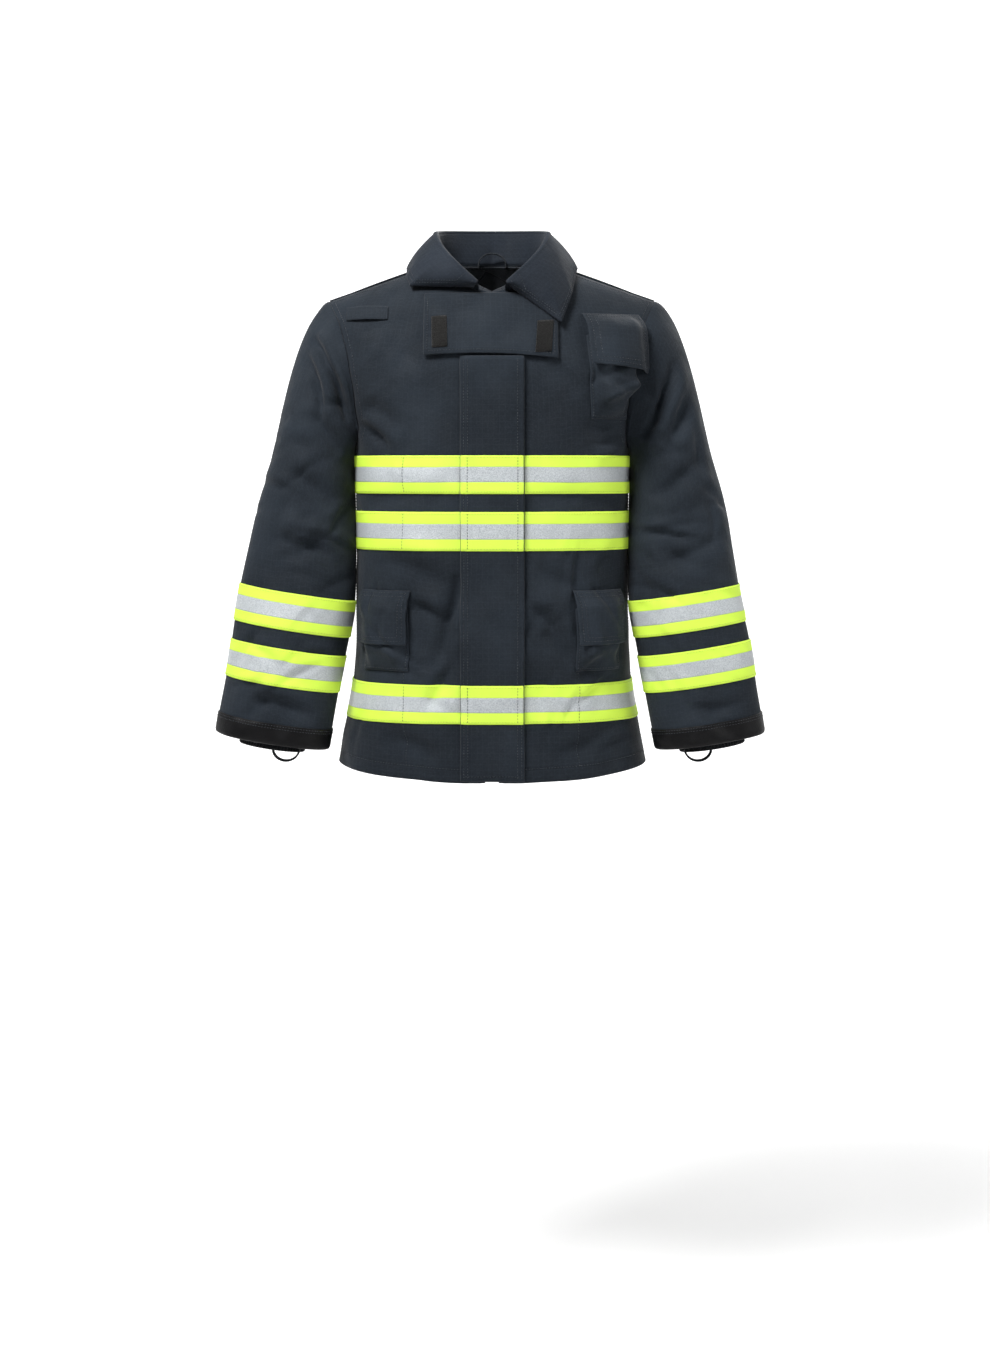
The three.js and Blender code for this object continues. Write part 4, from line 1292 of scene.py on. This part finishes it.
def pocket_point(side, shape, u, v, out, sag):
    inner, outer = lerp(*shape["inner"], v), lerp(*shape["outer"], v)
    x, z = lerp(inner, outer, u), lerp(shape["low"], shape["mouth"], v)
    folds = [depth * np.exp(-(((v - at - rise * u) / width) ** 2)) for depth, at, rise, width in POCKET_FOLDS]
    slump = sag * sum(folds)
    swell = pocket_swell(shape["depth"], u, v)
    return body(FRONT, side * x, z, 0.6 + out + swell - slump * clamp(swell / 8.0))


def flap_point(side, shape, bag, u, v, out, droop):
    """A pocket flap: on the coat along its top, then over the pocket's swollen front."""
    from_top = clamp((1 - v) * 2.8)
    from_sides = ease(2.8 * np.minimum(u, 1 - u))
    over = (bag["depth"] + 3.6) * np.sin(from_top * math.pi / 2) * (0.42 + 0.58 * from_sides)
    x = lerp(*shape["x"], u) + shape["lean"] * (1 - v)
    z = lerp(shape["low"] + shape["slant"] * u, shape["high"], v)
    return body(FRONT, side * x, z, 1.2 + out + over + droop * 0.8 * np.sin(5.0 * u + 1.0) * (1 - v))


def add_pocket(name, nodes, side, bag, flap, flap_body, sag):
    def bag_point(u, v, out, sag=sag):
        return pocket_point(side, bag, u, v, out, sag)

    def lid_point(u, v, out, droop=1.0):
        return flap_point(side, flap, bag, u, v, out, droop)

    u, v = plane(40, 40)
    thing = cloth(f"{name}_bag", bag_point(u, v, BAG_CLOTH), bag_point(u, v, 0.0), SHELL_CLOTH)
    bind(thing, replaces=[nodes[0]])
    declare_sheet(bag_point(u, v, BAG_CLOTH, 0.0))
    lines = (((0.03, 0.03), (0.02, 0.97)), ((0.97, 0.97), (0.02, 0.97)), ((0.04, 0.96), (0.03, 0.03)))
    runs = [seam(bag_point, BAG_CLOTH, u, v, POCKET_THREAD) for u, v in lines]
    stitch_runs(f"{name}_stitching", runs, THREAD)

    u, v = plane(44, 36)
    thing = cloth(f"{name}_flap_cloth", lid_point(u, v, SHELL), lid_point(u, v, 0.0), SHELL_CLOTH)
    x = side * (flap["x"][0] + flap["x"][1]) / 2
    fold_top, fold_low = flap["high"] - 1.0, flap["high"] - 9.0
    blend = ("root", flap_body, row_point(x, CHEST_Y, fold_top), row_point(x, CHEST_Y, fold_low))
    bind(thing, blend=blend, replaces=[nodes[1]])
    declare_sheet(lid_point(u, v, SHELL, 0.0))
    lines = []
    for inset in (0.06, 0.13):
        lines.append(((inset, inset), (inset, 0.97)))
        lines.append(((1 - inset, 1 - inset), (inset, 0.97)))
        lines.append(((inset, 1 - inset), (inset, inset)))
    lines += [((0.03, 0.97), (rise, rise)) for rise in (0.965, 0.9)]
    runs = [seam(lid_point, SHELL, u, v, POCKET_THREAD) for u, v in lines]
    stitch_runs(f"{name}_flap_stitching", runs, THREAD, blend=blend)


def add_pockets():
    radio_flap = dict(x=(120.0, 196.0), low=561.0, high=628.0, slant=-12.0, lean=5.0)
    add_pocket("radio_pocket", ("radio_pocket", "radio_pocket_flap"), 1, RADIO, radio_flap, "radio_flap", 2.3)
    for name, side in SIDES.items():
        flap = dict(x=(109.0, 173.0), low=186.0, high=257.0, slant=1.0, lean=1.5)
        nodes = (f"lower_pocket_{name}", f"lower_pocket_flap_{name}")
        add_pocket(f"lower_pocket_{name}", nodes, side, LOWER, flap, f"pocket_flap_{name}", 0.35)
    x, z = plane(30, 40, (60, 150), (300, 430))
    swell = pocket_swell(14.0, (x - 60) / 90, (z - 300) / 130)
    outer, inner = body(FRONT, x, z, LINER_LOW - 1.6 - swell), body(FRONT, x, z, LINER_LOW - 3.2 - swell)
    thing = cloth("liner_pocket_bag", outer, inner, LINER_CLOTH)
    bind(thing, replaces=["liner_pocket"])


def add_straps():
    u, v = plane(30, 10)

    def tab(out):
        swell = 3.2 * np.sin(clamp(u * 1.1 - 0.05) * math.pi)
        return body(FRONT, -lerp(140, 196, u), lerp(621, 638, v), 0.8 + swell + out)

    thing = cloth("mic_tab_strap", tab(1.9), tab(0.0), SHELL_CLOTH)
    bind(thing, replaces=["mic_tab"])
    low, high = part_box("hanger_loop")
    width, height = (high[0] - low[0]) / MM, (high[2] - low[2]) / MM
    base = high[2] / MM + ORIGIN[2] - height
    u, v = plane(48, 7)

    def loop(shrink):
        turn = u * math.pi
        x = -(width / 2 - 1.0 - shrink) * np.cos(turn)
        z = base + (height - 0.6 - shrink) * np.sin(turn) ** 0.75
        return np.stack([x, ORIGIN[1] + lerp(-2.4, 2.4, v) + 2 * (1 - np.sin(turn)), z], -1)

    thing = cloth("hanger_loop_strap", loop(0.0), loop(1.6), ZIP_TAPE)
    bind(thing, replaces=["hanger_loop"], slot="shell_ripstop")


# Stage, in metres
LENS, SENSOR_HEIGHT = 57.15, 36.0
CAMERA_PLACE = (0.004, -3.034, -0.301)
CAMERA_DOWN_DEGREES = 5.46
# Each lamp's name, place, aim, size and power
LAMPS = (
    ("key", (-1.1, -1.5, 1.8), (0.0, -0.1, -0.25), 0.9, 132),
    ("fill", (2.6, -1.5, 0.5), (0.0, 0.0, -0.35), 1.4, 40),
    ("back", (0.8, 2.6, 1.5), (0.0, 0.0, -0.3), 2.0, 60),
)


def add_sweep():
    """A pale floor that curves up behind the coat."""
    floor_z, turn_y, turn_radius, top_z, half = -1.57, 3.2, 2.4, 9.0, 14.0
    profile = [(-12.0, floor_z), (-4.0, floor_z), (0.0, floor_z)]
    for k in range(25):
        angle = math.pi / 2 * k / 24
        rise = turn_radius * (1 - math.cos(angle))
        profile.append((turn_y + turn_radius * math.sin(angle), floor_z + rise))
    profile.append((turn_y + turn_radius, top_z))
    vertices = [(x, y, z) for x in (-half, half) for y, z in profile]
    count = len(profile)
    faces = [(k, k + count, k + 1 + count, k + 1) for k in range(count - 1)]
    mesh = bpy.data.meshes.new("sweep")
    mesh.from_pydata(vertices, [], faces)
    mesh.polygons.foreach_set("use_smooth", np.ones(len(faces), bool))
    sweep = bpy.data.objects.new("sweep", mesh)
    bpy.context.scene.collection.objects.link(sweep)
    s = Shade("pale_sweep", roughness=0.9, specular=0.1)
    behind = s.tree.nodes.new("ShaderNodeSeparateXYZ")
    s.link(s.place, behind.inputs[0])
    # The sweep glows, from nothing on the floor near the coat to strongest on the wall behind: painted light
    # that keeps the backdrop bright white.
    s.feed(s.shader.inputs["Emission Color"], (1.0, 1.0, 1.0, 1.0))
    s.feed(s.shader.inputs["Emission Strength"], s.ramp(behind.outputs[1], 0.3, 3.4, 0.0, 0.75))
    mesh.materials.append(s.finish(s.mix(s.noise(2.0), (0.84, 0.84, 0.84), (0.88, 0.88, 0.88))))


def add_world():
    """White behind the coat and dimmer in front, so that the front is shaped by the lamps."""
    world = bpy.data.worlds.new("studio")
    world.use_nodes = True
    tree = world.node_tree
    place = tree.nodes.new("ShaderNodeTexCoord")
    split = tree.nodes.new("ShaderNodeSeparateXYZ")
    ramp = tree.nodes.new("ShaderNodeMapRange")
    ramp.interpolation_type = "SMOOTHSTEP"
    for socket, value in zip(ramp.inputs[1:5], (-0.1, 0.8, 0.22, 1.0)):
        socket.default_value = value
    tree.links.new(place.outputs["Generated"], split.inputs[0])
    tree.links.new(split.outputs[1], ramp.inputs[0])
    tree.links.new(ramp.outputs[0], tree.nodes["Background"].inputs["Strength"])
    tree.nodes["Background"].inputs["Color"].default_value = (1.0, 1.0, 1.0, 1.0)
    bpy.context.scene.world = world


def add_lamps():
    for name, place, aim, size, power in LAMPS:
        data = bpy.data.lights.new(name, "AREA")
        data.energy, data.size = power, size
        light = bpy.data.objects.new(name, data)
        light.location = place
        light.rotation_euler = (Vector(aim) - Vector(place)).to_track_quat("-Z", "Y").to_euler()
        bpy.context.scene.collection.objects.link(light)


def add_camera():
    data = bpy.data.cameras.new("camera")
    data.lens = LENS
    data.sensor_fit = "VERTICAL"
    data.sensor_height = SENSOR_HEIGHT
    camera = bpy.data.objects.new("camera", data)
    camera.location = CAMERA_PLACE
    camera.rotation_euler = (math.radians(90 - CAMERA_DOWN_DEGREES), 0, 0)
    bpy.context.scene.collection.objects.link(camera)
    bpy.context.scene.camera = camera
    bpy.context.scene.view_settings.view_transform = "Standard"


add_body()
add_shoulder_seams()
add_body_stitches()
add_body_bands()
add_sleeves()
add_storm_flap()
add_zipper()
add_collar()
add_throat_tab()
add_pockets()
add_straps()
add_sweep()
add_world()
add_lamps()
add_camera()
